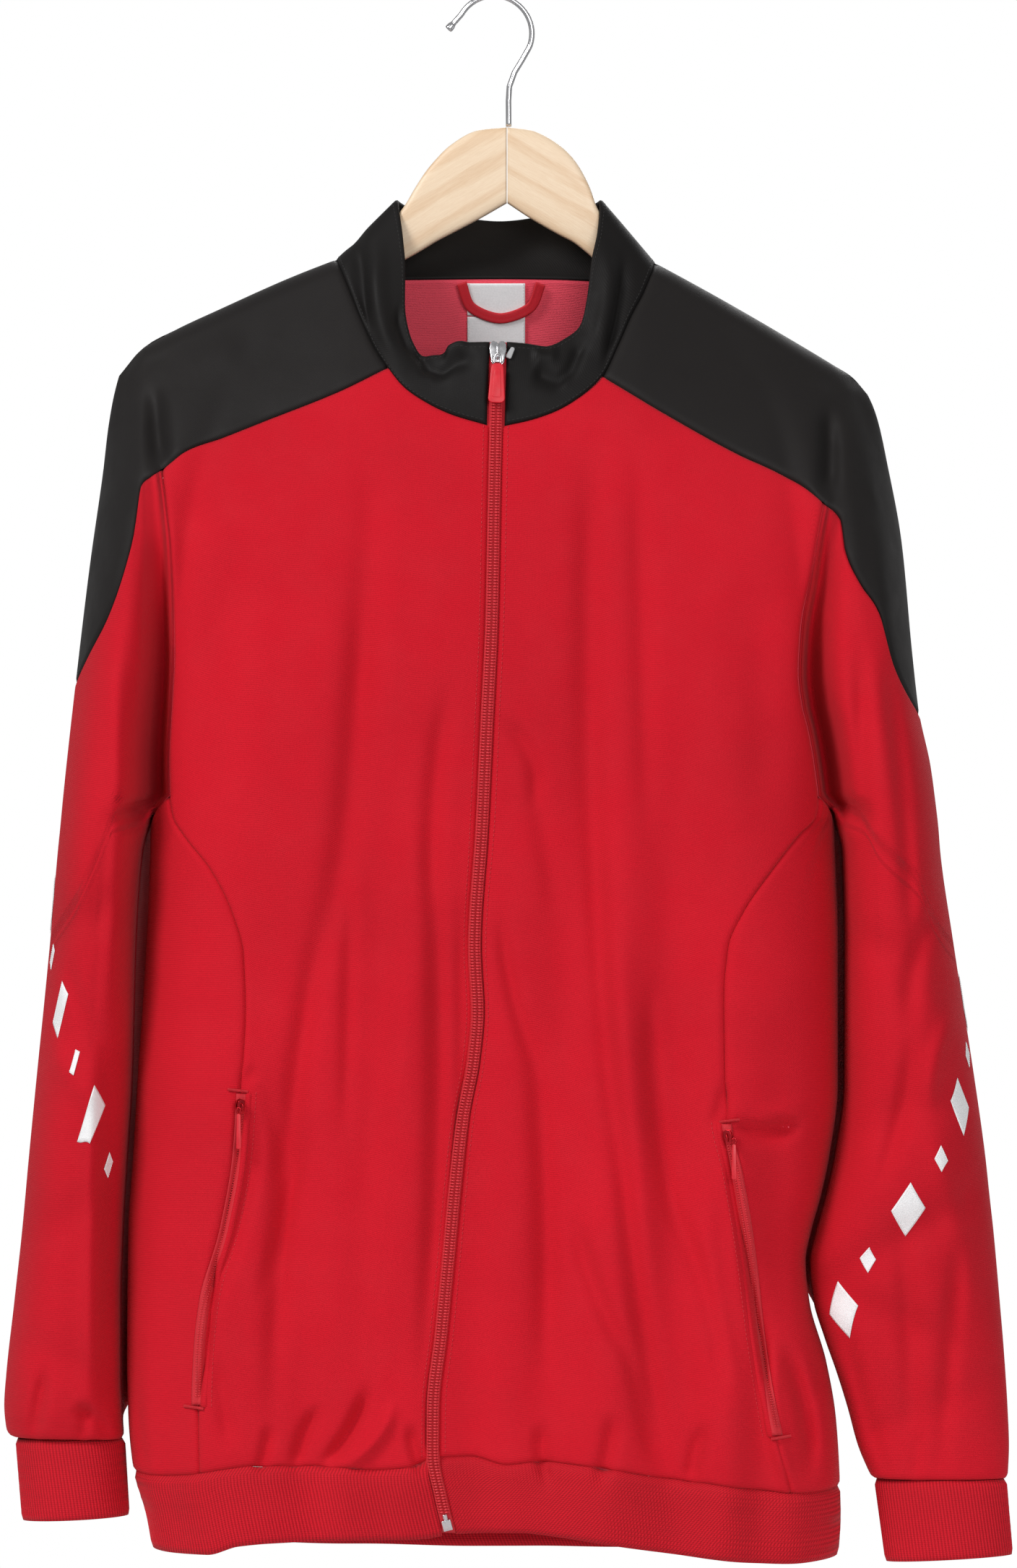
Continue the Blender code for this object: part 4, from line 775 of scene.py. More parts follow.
def loop_surface(s, t):
    k = t * 4
    dx, dz = (curve(LOOP, "k", axis, k + 0.01) - curve(LOOP, "k", axis, k - 0.01) for axis in "xz")
    size = np.hypot(dx, dz)
    return cloth(curve(LOOP, "k", "x", k) - s * dz / size, curve(LOOP, "k", "z", k) + s * dx / size, 1)


# ---------------------------------------------------------------- finishes


class Finish:
    """Builds one material's nodes, with short calls for what most of them share."""

    def __init__(self, name, colour, rough, **sockets):
        self.material = bpy.data.materials.new(name)
        self.material.use_nodes = True
        self.tree = self.material.node_tree
        self.tree.nodes.clear()
        self.shader = self.node("ShaderNodeBsdfPrincipled")
        self.link(self.shader.outputs["BSDF"], self.node("ShaderNodeOutputMaterial").inputs["Surface"])
        sockets.update(Base_Color=(*colour, 1.0), Roughness=rough)
        for socket, value in sockets.items():
            self.shader.inputs[socket.replace("_", " ")].default_value = value

    def node(self, kind, **settings):
        made = self.tree.nodes.new(kind)
        for key, value in settings.items():
            setattr(made, key, value)
        return made

    def link(self, a, b):
        self.tree.links.new(a, b)

    def feed(self, socket, value):
        if isinstance(value, (int, float)):
            socket.default_value = value
        elif isinstance(value, tuple):
            socket.default_value = (*value[:3], 1.0)
        else:
            self.link(value, socket)

    def math(self, kind, a, b=0.0):
        made = self.node("ShaderNodeMath", operation=kind)
        self.feed(made.inputs[0], a)
        self.feed(made.inputs[1], b)
        return made.outputs[0]

    def times(self, a, b):
        return self.math("MULTIPLY", a, b)

    def plus(self, a, b):
        return self.math("ADD", a, b)

    def wave(self, value, pitch, kind="SINE"):
        return self.math(kind, self.times(value, 2 * math.pi / pitch))

    def vector(self, x, y, z):
        made = self.node("ShaderNodeCombineXYZ")
        for socket, value in zip(made.inputs, (x, y, z)):
            self.feed(socket, value)
        return made.outputs["Vector"]

    def weave(self):
        """Where on the cloth: its vector, millimetres along and up, and 1 on the inner face."""
        given = self.node("ShaderNodeAttribute", attribute_name="weave").outputs["Vector"]
        parts = self.node("ShaderNodeSeparateXYZ")
        self.link(given, parts.inputs["Vector"])
        return given, *parts.outputs

    def noise(self, scale, detail=3.0, roughness=0.55, at=None, drawn=(1.0, 1.0, 1.0)):
        """Noise over the object's own coordinates, drawn out along an axis, or over another vector."""
        made = self.node("ShaderNodeTexNoise")
        for name, value in (("Scale", scale), ("Detail", detail), ("Roughness", roughness)):
            made.inputs[name].default_value = value
        if at is None:
            mapping = self.node("ShaderNodeMapping")
            mapping.inputs["Scale"].default_value = drawn
            self.link(self.node("ShaderNodeTexCoord").outputs["Object"], mapping.inputs["Vector"])
            at = mapping.outputs["Vector"]
        self.link(at, made.inputs["Vector"])
        return made.outputs["Fac"]

    def blend(self, share, a, b, kind="MIX"):
        made = self.node("ShaderNodeMix", data_type="RGBA", blend_type=kind)
        for socket, value in ((0, share), (6, a), (7, b)):
            self.feed(made.inputs[socket], value)
        return made.outputs[2]

    def range(self, value, low, high, to_low, to_high):
        made = self.node("ShaderNodeMapRange")
        self.link(value, made.inputs["Value"])
        for name, number in (("From Min", low), ("From Max", high), ("To Min", to_low), ("To Max", to_high)):
            made.inputs[name].default_value = number
        return made.outputs["Result"]

    def colour(self, value):
        self.link(value, self.shader.inputs["Base Color"])

    def shade(self, colour, *shades):
        """The colour, made lighter and darker by grey shades."""
        grey = shades[0]
        for other in shades[1:]:
            grey = self.times(grey, other)
        self.colour(self.blend(1.0, colour, self.vector(grey, grey, grey), "MULTIPLY"))

    def rough(self, value, low, high):
        self.link(self.range(value, 0.3, 0.7, low, high), self.shader.inputs["Roughness"])

    def bump(self, height, depth):
        made = self.node("ShaderNodeBump")
        made.inputs["Distance"].default_value = depth
        self.link(height, made.inputs["Height"])
        self.link(made.outputs["Normal"], self.shader.inputs["Normal"])


def knit_finish(name, colour, inside, pitch=1.05, wale=0.8, depth=0.00016, rough=0.8, sheen=0.07, slant=0.0):
    """Close knit: fine courses across, finer wales, a faint heather, and a looped inner face in its own
    colour, which for the red knit is paler partly by nature and partly as painted light.
    """
    made = Finish(name, colour, rough, Sheen_Weight=sheen, Sheen_Roughness=0.45, Specular_IOR_Level=0.16,
                  Sheen_Tint=(*[0.5 + 0.5 * c for c in colour], 1.0))
    vector, u, v, face = made.weave()
    course = made.plus(v, made.times(made.noise(60.0, 2.0), 0.9))
    if slant:
        course = made.plus(course, made.times(u, slant))
    courses = made.wave(course, pitch)
    loops = made.plus(made.times(courses, 0.34), made.times(made.wave(u, wale), 0.14))
    fuzz = made.noise(1400.0, 2.0, 0.6)
    # The inner face takes its own colour, which for the red knit is partly painted light
    made.shade(made.blend(face, colour, inside), made.range(courses, -1.0, 1.0, 0.93, 1.05),
               made.range(made.noise(9.0, 4.0), 0.3, 0.7, 0.93, 1.06),
               made.range(fuzz, 0.3, 0.75, 0.93, 1.06))
    made.rough(made.noise(45.0), rough - 0.05, rough + 0.09)
    pile = made.times(made.times(made.noise(1.6, 2.0, 0.7, vector), face), 1.8)
    made.bump(made.plus(made.plus(loops, made.times(fuzz, 0.5)), pile), depth)


def rib_finish(name, colour, pitch):
    """Rib knit: painted shade between its ribs, with a fine ladder of stitches on each."""
    made = Finish(name, colour, 0.8, Sheen_Weight=0.07, Sheen_Roughness=0.5, Specular_IOR_Level=0.15)
    _, u, v, _ = made.weave()
    fuzz = made.noise(1300.0, 2.0)
    # The cosine across the ribs darkens the colour between them as painted shade
    made.shade(colour, made.range(made.wave(u, pitch, "COSINE"), -1.0, 0.6, 0.66, 1.06),
               made.range(made.noise(14.0), 0.3, 0.7, 0.93, 1.06), made.range(fuzz, 0.3, 0.7, 0.95, 1.05))
    made.rough(fuzz, 0.6, 0.74)
    made.bump(made.plus(made.times(made.wave(v, 1.2), 0.3), made.times(fuzz, 0.6)), 0.0002)


def tape_finish(name, colour, rough=0.65, sheen=0.08, herringbone=1.3, tone=0.09):
    """Woven tape: a fine herringbone across its length."""
    made = Finish(name, colour, rough, Sheen_Weight=sheen)
    _, u, v, _ = made.weave()
    rows = made.wave(made.plus(v, made.math("PINGPONG", u, herringbone)), 0.8)
    fuzz = made.noise(1100.0, 2.0)
    made.shade(colour, made.range(rows, -1.0, 1.0, 1 - tone, 1 + tone / 2),
               made.range(fuzz, 0.3, 0.7, 0.95, 1.05))
    made.rough(fuzz, rough - 0.05, rough + 0.08)
    made.bump(made.plus(made.times(rows, 0.5), fuzz), 0.0011 * tone)


def grained_finish(name, colour, rough, grain, detail, dark, light, depth, drawn=(1.0, 1.0, 1.0), **sockets):
    """Thread, moulding or metal: one fine grain gives its tone, gloss and relief."""
    made = Finish(name, colour, rough, **sockets)
    marks = made.noise(grain, detail, drawn=drawn)
    made.shade(colour, made.range(marks, 0.3, 0.7, dark, light))
    made.rough(marks, rough - 0.05, rough + 0.1)
    made.bump(marks, depth)


def thread_finish(name, colour, rough=0.45):
    grained_finish(name, colour, rough, 2600.0, 2.0, 0.88, 1.08, 0.00008, Sheen_Weight=0.06)


def plastic_finish(name, colour, rough):
    grained_finish(name, colour, rough, 220.0, 4.0, 0.92, 1.06, 0.00004)


def metal_finish(name, colour, rough, drawn=(1.0, 1.0, 1.0)):
    grained_finish(name, colour, rough, 260.0, 4.0, 0.9, 1.04, 0.00003, drawn, Metallic=1.0)


def wood_finish(name, pale, dark):
    """Planed pale wood: growth lines that run along each arm, pores and a thin lacquer."""
    made = Finish(name, pale, 0.42, Coat_Weight=0.18, Coat_Roughness=0.28)
    _, along, across, depth = made.weave()
    spot = made.vector(made.times(along, 0.012), made.times(across, 0.16), made.times(depth, 0.16))
    rings = made.plus(made.times(across, 0.42), made.times(made.noise(1.1, at=spot), 7.0))
    fine = made.noise(9.0, 5.0, 0.65, spot)
    pores = made.vector(made.times(along, 0.22), made.times(across, 3.4), made.times(depth, 3.4))
    pore = made.noise(1.0, 3.0, 0.6, pores)
    share = made.plus(made.range(made.math("SINE", rings), -0.2, 1.0, 0.0, 0.45),
                      made.range(fine, 0.35, 0.75, 0.0, 0.35))
    made.colour(made.blend(made.range(pore, 0.58, 0.8, 0.0, 0.4), made.blend(share, pale, dark), dark))
    made.rough(fine, 0.36, 0.5)
    made.bump(made.plus(fine, pore), 0.00008)


# ---------------------------------------------------------------- making meshes


def added(name, data):
    """A new object in the scene."""
    thing = bpy.data.objects.new(name, data)
    bpy.context.scene.collection.objects.link(thing)
    return thing


def add_vectors(mesh, name, vectors):
    layer = mesh.attributes.new(name, "FLOAT_VECTOR", "POINT")
    layer.data.foreach_set("vector", np.asarray(vectors, np.float32).ravel())


def piece_from(name, points, faces, material, weave=None):
    """A mesh object from points in millimetres, its place in its mesh."""
    mesh = bpy.data.meshes.new(name)
    mesh.from_pydata(np.asarray(points, float) * MM, [], faces)
    if weave is not None:
        add_vectors(mesh, "weave", weave)
    mesh.polygons.foreach_set("use_smooth", [True] * len(mesh.polygons))
    mesh.materials.append(material)
    mesh.validate()
    mesh.update()
    return added(name, mesh)


def unit(v):
    return v / np.maximum(np.linalg.norm(v, axis=-1, keepdims=True), 1e-9)


def grid_normals(points, closed):
    if closed:
        across = np.roll(points, -1, axis=0) - np.roll(points, 1, axis=0)
    else:
        across = np.gradient(points, axis=0)
    return unit(np.cross(across, np.gradient(points, axis=1)))


def lengths(points, axis):
    """Length run along each line of a grid, in millimetres."""
    step = np.linalg.norm(np.diff(points, axis=axis), axis=-1)
    start = np.zeros_like(np.take(step, [0], axis=axis))
    return np.concatenate([start, np.cumsum(step, axis=axis)], axis=axis)


def shell(name, surface, s, t, material, wall, lift=0.0, flip=False, closed=False,
          tuck=(0.0, 0.0, 0.0, 0.0), tuck_width=1.6, relief=None):
    """Thin cloth on surface(s, t), its edges rounded and tucked down where they are sewn."""
    s_grid, t_grid = np.meshgrid(s, t, indexing="ij")
    points = surface(s_grid, t_grid)
    normal = grid_normals(points, closed)
    if flip:
        normal = -normal
    u = lengths(points, 0)
    v = lengths(points, 1)
    edge = [u, u[-1:] - u, v, v[:, -1:] - v]
    if closed:
        edge = edge[2:]
        tuck = tuck[2:]
    level = lift - sum(d * bell(e, tuck_width) for d, e in zip(tuck, edge)) - wall / 2
    half = wall / 2 * (0.3 + 0.7 * quarter(np.minimum.reduce(edge) / (wall * 0.7)))
    raised = 0.0 if relief is None else relief(u, v)
    outer = points + normal * (level + raised + half)[..., None]
    inner = points + normal * (level - half)[..., None]
    m, n = s_grid.shape
    index = np.arange(m * n).reshape(m, n)
    left = index if closed else index[:-1]
    right = np.roll(index, -1, axis=0) if closed else index[1:]
    quads = np.stack([left[:, :-1], right[:, :-1], right[:, 1:], left[:, 1:]], axis=-1).reshape(-1, 4)
    rims = [(right[:, 0], left[:, 0]), (left[:, -1], right[:, -1])]
    if not closed:
        rims += [(index[0, :-1], index[0, 1:]), (index[-1, 1:], index[-1, :-1])]
    faces = [quads, quads[:, ::-1] + m * n]
    faces += [np.stack([a, b, b + m * n, a + m * n], axis=-1) for a, b in rims]
    faces = np.concatenate(faces)
    if flip:
        faces = faces[:, ::-1]
    weave = [xyz(u, v, np.full_like(u, face)).reshape(-1, 3) for face in (0, 1)]
    points = np.concatenate([outer.reshape(-1, 3), inner.reshape(-1, 3)])
    return piece_from(name, points, faces, material, np.concatenate(weave))


# What the bead tree takes, with its own values
BEAD = {"Spacing": 0.0027, "Long": 0.0022, "Wide": 0.0005, "High": 0.0004, "Turn": 0.0}


def row_tree():
    """Geometry Nodes: rounded beads at even spacing along each line, laid to the line and its facing."""
    tree = bpy.data.node_groups.get("Beads along lines")
    if tree:
        return tree
    tree = bpy.data.node_groups.new("Beads along lines", "GeometryNodeTree")
    socket = tree.interface.new_socket
    socket("Geometry", in_out="INPUT", socket_type="NodeSocketGeometry")
    for name, value in BEAD.items():
        socket(name, in_out="INPUT", socket_type="NodeSocketFloat").default_value = value
    socket("Material", in_out="INPUT", socket_type="NodeSocketMaterial")
    socket("Geometry", in_out="OUTPUT", socket_type="NodeSocketGeometry")

    def node(kind, output, settings=(), **inputs):
        """One output of a new node, whose named inputs are linked or set."""
        made = tree.nodes.new(kind)
        for key, value in settings:
            setattr(made, key, value)
        for key, value in inputs.items():
            if isinstance(value, bpy.types.NodeSocket):
                tree.links.new(value, made.inputs[key])
            else:
                made.inputs[key].default_value = value
        return made.outputs[output]

    given = tree.nodes.new("NodeGroupInput").outputs
    line = node("GeometryNodeMeshToCurve", "Curve", Mesh=given["Geometry"])
    even = node("GeometryNodeResampleCurve", "Curve", [("mode", "LENGTH")], Curve=line,
                Length=given["Spacing"])
    facing = node("GeometryNodeInputNamedAttribute", "Attribute", [("data_type", "FLOAT_VECTOR")],
                  Name="facing")
    up = node("FunctionNodeAlignRotationToVector", "Rotation", [("axis", "Z")], Vector=facing)
    ahead = node("FunctionNodeAlignRotationToVector", "Rotation", [("axis", "X"), ("pivot_axis", "Z")],
                 Rotation=up, Vector=node("GeometryNodeInputTangent", "Tangent"))
    bead = node("GeometryNodeMeshUVSphere", "Mesh", Segments=6, Rings=4, Radius=0.5)
    size = node("ShaderNodeCombineXYZ", "Vector", X=given["Long"], Y=given["Wide"], Z=given["High"])
    bead = node("GeometryNodeTransform", "Geometry", Geometry=bead, Scale=size)
    turn = node("ShaderNodeCombineXYZ", "Vector", Z=given["Turn"])
    bead = node("GeometryNodeTransform", "Geometry", Geometry=bead, Rotation=turn)
    rows = node("GeometryNodeInstanceOnPoints", "Instances", Points=even, Instance=bead, Rotation=ahead)
    rows = node("GeometryNodeRealizeInstances", "Geometry", Geometry=rows)
    rows = node("GeometryNodeSetMaterial", "Geometry", Geometry=rows, Material=given["Material"])
    tree.links.new(rows, tree.nodes.new("NodeGroupOutput").inputs["Geometry"])
    return tree


def grow_rows(name, lines, sizes, finish, lift=0.0):
    """Stitches or teeth of given sizes set along lines of (points, outward directions), as one plain mesh."""
    edges = []
    start = 0
    for p, _ in lines:
        edges += [(start + i, start + i + 1) for i in range(len(p) - 1)]
        start += len(p)
    mesh = bpy.data.meshes.new(name)
    mesh.from_pydata(np.concatenate([p + n * lift for p, n in lines]) * MM, edges, [])
    add_vectors(mesh, "facing", np.concatenate([n for _, n in lines]))
    thing = added(name, mesh)
    rows = thing.modifiers.new("Rows", "NODES")
    rows.node_group = row_tree()
    values = dict(zip(BEAD, sizes), Material=finishes()[finish])
    for item in rows.node_group.interface.items_tree:
        if item.in_out == "INPUT" and item.name in values:
            rows[item.identifier] = values[item.name]
    mesh = solidified(thing).data
    mesh.materials.clear()
    mesh.materials.append(values["Material"])
    mesh.polygons.foreach_set("use_smooth", [True] * len(mesh.polygons))
    return thing


def line_on(surface, s, t, flip=False, step=1e-3):
    """Points of a line on a surface and the outward direction at each."""
    s, t = (given[:, None] for given in np.broadcast_arrays(np.asarray(s, float), np.asarray(t, float)))
    across = surface(s + step, t) - surface(s - step, t)
    along = surface(s, t + step) - surface(s, t - step)
    normal = unit(np.cross(across, along))
    if flip:
        normal = -normal
    return surface(s, t)[:, 0], normal[:, 0]


def hold(thing, body, nodes):
    """The piece moves with a body and stands for its plain nodes."""
    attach(thing, body)
    if nodes:
        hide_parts(*nodes)


def sew(name, surface, s, t, finish, wall, nodes=(), slot=None, **form):
    """Cloth that hangs with the jacket; its slot argument is not used."""
    thing = shell(name, surface, s, t, finishes()[finish], wall, **form)
    hold(thing, "jacket", nodes)
    return thing


def local_frame(surface, t, flip=False):
    """A point on a surface's middle line, with the axes across, out of the cloth and along it."""
    points, out = line_on(surface, 0.0, [t, t + 1e-3], flip)
    along = unit(points[1] - points[0])
    out = unit(out[0] - along * np.dot(out[0], along))
    return points[0], np.cross(out, along), out, along


UPRIGHT = (np.zeros(3), *np.eye(3))


def solid(name, local, faces, at, finish, weave=None):
    """A closed solid from points along the axes of a frame, its faces outward."""
    points = at[0] + np.asarray(local, float) @ np.array(at[1:])
    thing = piece_from(name, points, faces, finishes()[finish], weave)
    work = bmesh.new()
    work.from_mesh(thing.data)
    bmesh.ops.recalc_face_normals(work, faces=work.faces)
    work.to_mesh(thing.data)
    work.free()
    return thing


def plate(name, outline, low, high, at, finish, round_by):
    """A flat plate: an outline across and along, from low to high out of the cloth, its edges rounded."""
    n = len(outline)
    points = [(x, level, z) for level in (low, high) for x, z in outline]
    faces = [tuple(range(n)), tuple(range(2 * n - 1, n - 1, -1))]
    faces += [(i, i + n, (i + 1) % n + n, (i + 1) % n) for i in range(n)]
    thing = solid(name, points, faces, at, finish)
    edge = thing.modifiers.new("Edge", "BEVEL")
    edge.width = round_by * MM
    edge.segments = 3
    edge.limit_method = "ANGLE"
    edge.angle_limit = math.radians(40)
    return solidified(thing)


def solidified(thing):
    """The same piece with its modifiers made part of its mesh."""
    view = bpy.context.evaluated_depsgraph_get()
    mesh = bpy.data.meshes.new_from_object(thing.evaluated_get(view))
    thing.modifiers.clear()
    old = thing.data
    thing.data = mesh
    bpy.data.meshes.remove(old)
    mesh.name = thing.name
    return thing


def joined(name, things):
    """Several meshes as one piece."""
    bpy.ops.object.select_all(action="DESELECT")
    for thing in things:
        thing.select_set(True)
    bpy.context.view_layer.objects.active = things[0]
    bpy.ops.object.join()
    things[0].name = name
    things[0].data.name = name
    return things[0]


def tube_faces(rings, sides):
    """Faces of a tube, closed at both ends."""
    faces = []
    for i in range(0, (rings - 1) * sides, sides):
        for j in range(sides):
            k = (j + 1) % sides
            faces.append((i + j, i + k, i + k + sides, i + j + sides))
    last = (rings - 1) * sides
    return faces + [tuple(range(sides))[::-1], tuple(range(last, last + sides))]


def wire(name, centre_line, radius, at, finish, sides=10):
    """A round wire through local points."""
    line = np.asarray(centre_line, float)
    tangent = unit(np.gradient(line, axis=0))
    side = unit(np.cross(tangent, [0.0, 1.0, 0.01]))
    up = np.cross(side, tangent)
    turn = np.linspace(0, 2 * np.pi, sides, endpoint=False)[None, :, None]
    ring = np.cos(turn) * side[:, None] + np.sin(turn) * up[:, None]
    points = line[:, None] + ring * np.broadcast_to(radius, len(line))[:, None, None]
    return solid(name, points.reshape(-1, 3), tube_faces(len(line), sides), at, finish)


def rounded_outline(width_low, width_high, low, high, corner):
    """A tapering outline with rounded corners, as across and along points."""
    out = []
    for x, z, start in ((width_high / 2, high, 0), (-width_high / 2, high, 90),
                        (-width_low / 2, low, 180), (width_low / 2, low, 270)):
        cx = x - math.copysign(corner, x)
        cz = z - (corner if z == high else -corner)
        for a in np.radians(start + np.linspace(0, 90, 5)):
            out.append((cx + corner * math.cos(a), cz + corner * math.sin(a)))
    return out


# ---------------------------------------------------------------- pieces


def toned(colour, times, plus=0.0):
    return tuple(min(1.0, c * times + plus) for c in colour)


def finishes():
    """Every finish of the jacket, made once, from the panel's colours."""
    made = bpy.data.materials
    if "red knit" not in made:
        look = bpy.context.scene.jacket_cloth
        red, inside, black, white = map(tuple, (look.red, look.inside, look.black, look.white))
        knit_finish("red knit", red, inside, look.course / MM)
        # The collar's knit is the black knit darkened to 0.55 as painted shade, where its roll turns from the
        # light
        for name, colour in (("black knit", black), ("black collar knit with painted shade", toned(black, 0.55))):
            knit_finish(name, colour, colour, 0.9, 0.7, 0.00006, 0.55, 0.04, 0.6)
        rib_finish("red rib", red, look.rib / MM)
        tape_finish("red tape", red, tone=0.06)
        tape_finish("white satin", white, 0.5, 0.1, 0.4, 0.03)
        tape_finish("white twill", white, 0.7, 0.1, 0.6, 0.05)
        thread_finish("red thread", red)
        thread_finish("black thread", toned(black, 0.7), 0.7)
        thread_finish("white thread", white)
        # The nylon is the red made paler and pinker, partly its own tint and partly a painted highlight on
        # the teeth
        plastic_finish("red nylon with painted highlight", toned(red, 1.1, 0.02), 0.32)
        plastic_finish("red moulding", toned(red, 1.1), 0.4)
        plastic_finish("grey moulding", (0.42, 0.42, 0.43), 0.4)
        metal_finish("zip metal", (0.72, 0.72, 0.74), 0.24)
        metal_finish("red enamel", toned(red, 0.9, 0.02), 0.3)
        hanger = bpy.context.scene.jacket_hanger
        metal_finish("hook wire", (0.78, 0.78, 0.8), hanger.polish, (1.0, 1.0, 0.15))
        wood_finish("pale wood", tuple(hanger.pale), tuple(hanger.grain))
    return made


def densely(count, ends=0.35):
    """Places from 0 to 1 that stand closer together at both ends."""
    t = np.linspace(0, 1, count)
    return mix(t, (1 - np.cos(np.pi * t)) / 2, ends)


def make_fronts(wall):
    rows = np.concatenate([densely(130), 1 + densely(72)[1:]])
    for side, sign in SIGN.items():
        thing = sew("front_" + side + "_cloth", front_surface(side), densely(84), rows, "red knit", wall,
                    ["front_" + side], flip=sign < 0, tuck=(0.5, 1.0, 0.9, 1.0))


def make_back(wall):
    rows = np.concatenate([densely(108), 1 + densely(70)[1:]])
    thing = sew("back_cloth", back_surface, densely(124) * 2 - 1, rows, "red knit", wall, ["back"], flip=True,
                tuck=(1.0, 1.0, 0.9, 1.0))


def make_side_panels(wall):
    for side, sign in SIGN.items():
        thing = sew("side_panel_" + side + "_cloth", side_surface(side), densely(56, 0.2) * 2 - 1,
                    densely(112), "red knit", wall, ["side_panel_" + side], flip=sign < 0,
                    tuck=(1.0, 1.0, 0.9, 0.8))


def make_sleeves(wall):
    for side, sign in SIGN.items():
        thing = sew("sleeve_" + side + "_cloth", sleeve_surface(side), np.linspace(-1, 1, 127), densely(190),
                    "red knit", wall, ["sleeve_" + side], flip=sign < 0, tuck=(0.6, 0.6, 1.0, 1.0))


def make_yokes(wall):
    for side, sign in SIGN.items():
        thing = sew("yoke_" + side + "_cloth", yoke_surface(side), np.linspace(0, 2, 132),
                    densely(82, 0.2) * 2 - 1, "black knit", wall, ["yoke_" + side], flip=sign < 0,
                    tuck=(0.9, 0.0, 0.8, 0.8))


def make_collar(wall):
    # The collar takes the black knit darkened as painted shade
    thing = sew("collar_cloth", slumped_collar, np.linspace(0, 24, 330), densely(32, 0.5),
                "black collar knit with painted shade", 2 * wall, ["collar"], "black_knit", lift=0.4, flip=True,
                tuck=(0.4, 0.4, 0.4, 0.0))


def make_ribbing(pitch, height):
    steps = 5

    def ribs(u, v):
        ends = np.clip(np.minimum(v, v[:, -1:] - v) / 2.0, 0, 1)
        return height * (np.cos(2 * np.pi * u / pitch) - 1) / 2 * ends

    band = sew("hem_band_rib", hem_surface, hem_even(int(840 / pitch * steps)), densely(9), "red rib", 2.0,
               ["hem_band"], flip=True, tuck=(0.3, 0.3, 0.0, 0.9), relief=ribs)
    for side in SIGN:
        rows = CUFFS[side]
        round_it = math.pi * (rows["outer"][0] - rows["inner"][0] + 2 * rows["deep"][0]) / 2
        count = int(round(round_it / pitch)) * steps
        cuff = sew("cuff_" + side + "_rib", cuff_surface(side), np.arange(count) / count, densely(11),
                   "red rib", 2.0, ["cuff_" + side], closed=True, tuck=(0.0, 0.0, 0.0, 0.9), relief=ribs)


def hem_even(count):
    """Places round the hem band that are evenly far apart."""
    s = np.linspace(-2, 2, 2001)
    run = lengths(hem_surface(s[:, None], np.full((len(s), 1), 0.5)), 0)[:, 0]
    return np.interp(np.linspace(0, run[-1], count), run, s)


def make_front_zip(pitch):
    tape = sew("zip_tape_woven", tape_surface, np.linspace(-8.0, 8.0, 33), np.linspace(0, 1, 260),
               "red tape", 1.0, ["zip_tape"], lift=-0.3)
    t = np.linspace(zip_t(TEETH_FOOT), zip_t(TEETH_TOP), 300)
    rows = []
    # The teeth take the nylon whose paler tint is partly a painted highlight
    for name, away, sizes, lift in (("zip_teeth", 1.35, (0.0012, 0.0026, 0.0015), 0.75),
                                    ("zip_coil_backs", 2.75, (0.0013, 0.0009, 0.0012), 0.5)):
        lines = [line_on(zip_line, across, t) for across in (-away, away)]
        rows.append(grow_rows(name, lines, (pitch, *sizes), "red nylon with painted highlight", lift))
    hold(joined("zip_coil_rows", rows), "jacket", ["zip_coil"])
    # Slider: a shield with a bridge over it
    at = local_frame(zip_line, zip_t(SLIDER_Z))
    shield = [(-2.6, -6.6), (2.6, -6.6), (3.6, -5.2), (4.8, 1.5), (4.6, 4.6), (3.0, 6.4), (0.9, 6.0),
              (0.0, 5.2), (-0.9, 6.0), (-3.0, 6.4), (-4.6, 4.6), (-4.8, 1.5), (-3.6, -5.2)]
    bridge = [(0.0, 3.2, 4.6), (0.0, 4.6, 4.0), (0.0, 5.2, 1.8), (0.0, 5.2, -2.0), (0.0, 4.7, -4.0),
              (0.0, 3.3, -4.6)]
    bridge = np.array([np.interp(np.linspace(0, 5, 24), range(6), axis) for axis in zip(*bridge)]).T
    aside = (at[0] - at[1] * 7.2 + at[3] * 0.2, *turned(at[1], at[3], 24, at[2]))
    slider = joined("zip_slider_metal", [
        plate("slider_top", shield, 2.2, 3.6, at, "zip metal", 0.45),
        plate("slider_foot", shield, -0.6, 0.3, at, "zip metal", 0.3),
        plate("slider_post", rounded_outline(3.2, 2.0, -1.0, 5.6, 0.5), 0.2, 2.4, at, "zip metal", 0.2),
        wire("slider_bridge", bridge, 0.75, at, "zip metal"),
        plate("slider_lock_tab", rounded_outline(3.4, 2.4, -3.6, 3.4, 1.0), 0.6, 2.0, aside,
              "grey moulding", 0.4),
    ])
    hold(slider, "jacket", ["zip_slider"])
    at = local_frame(zip_line, zip_t(END_BOX_Z))
    box = joined("zip_end_metal", [
        plate("end_box", rounded_outline(5.4, 5.4, -4.6, 1.6, 0.6), -0.4, 3.2, at, "zip metal", 0.5),
        plate("end_pin", rounded_outline(1.5, 1.5, 1.2, 4.6, 0.4), 0.2, 2.6, at, "zip metal", 0.3),
        plate("end_pin_b", rounded_outline(2.4, 2.4, 1.7, 4.6, 0.4), 0.4, 1.8, at, "zip metal", 0.3),
    ])
    hold(box, "jacket", ["zip_end_box"])
    make_zip_pull()


def turned(across, along, degrees, out):
    """Axes turned about the way out of the cloth, as across, out and along."""
    a = math.radians(degrees)
    return across * math.cos(a) + along * math.sin(a), out, along * math.cos(a) - across * math.sin(a)


def box_middle(node):
    """The middle of a plain node's box, in millimetres."""
    low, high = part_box(node)
    return (np.array(low) + np.array(high)) / 2 / MM


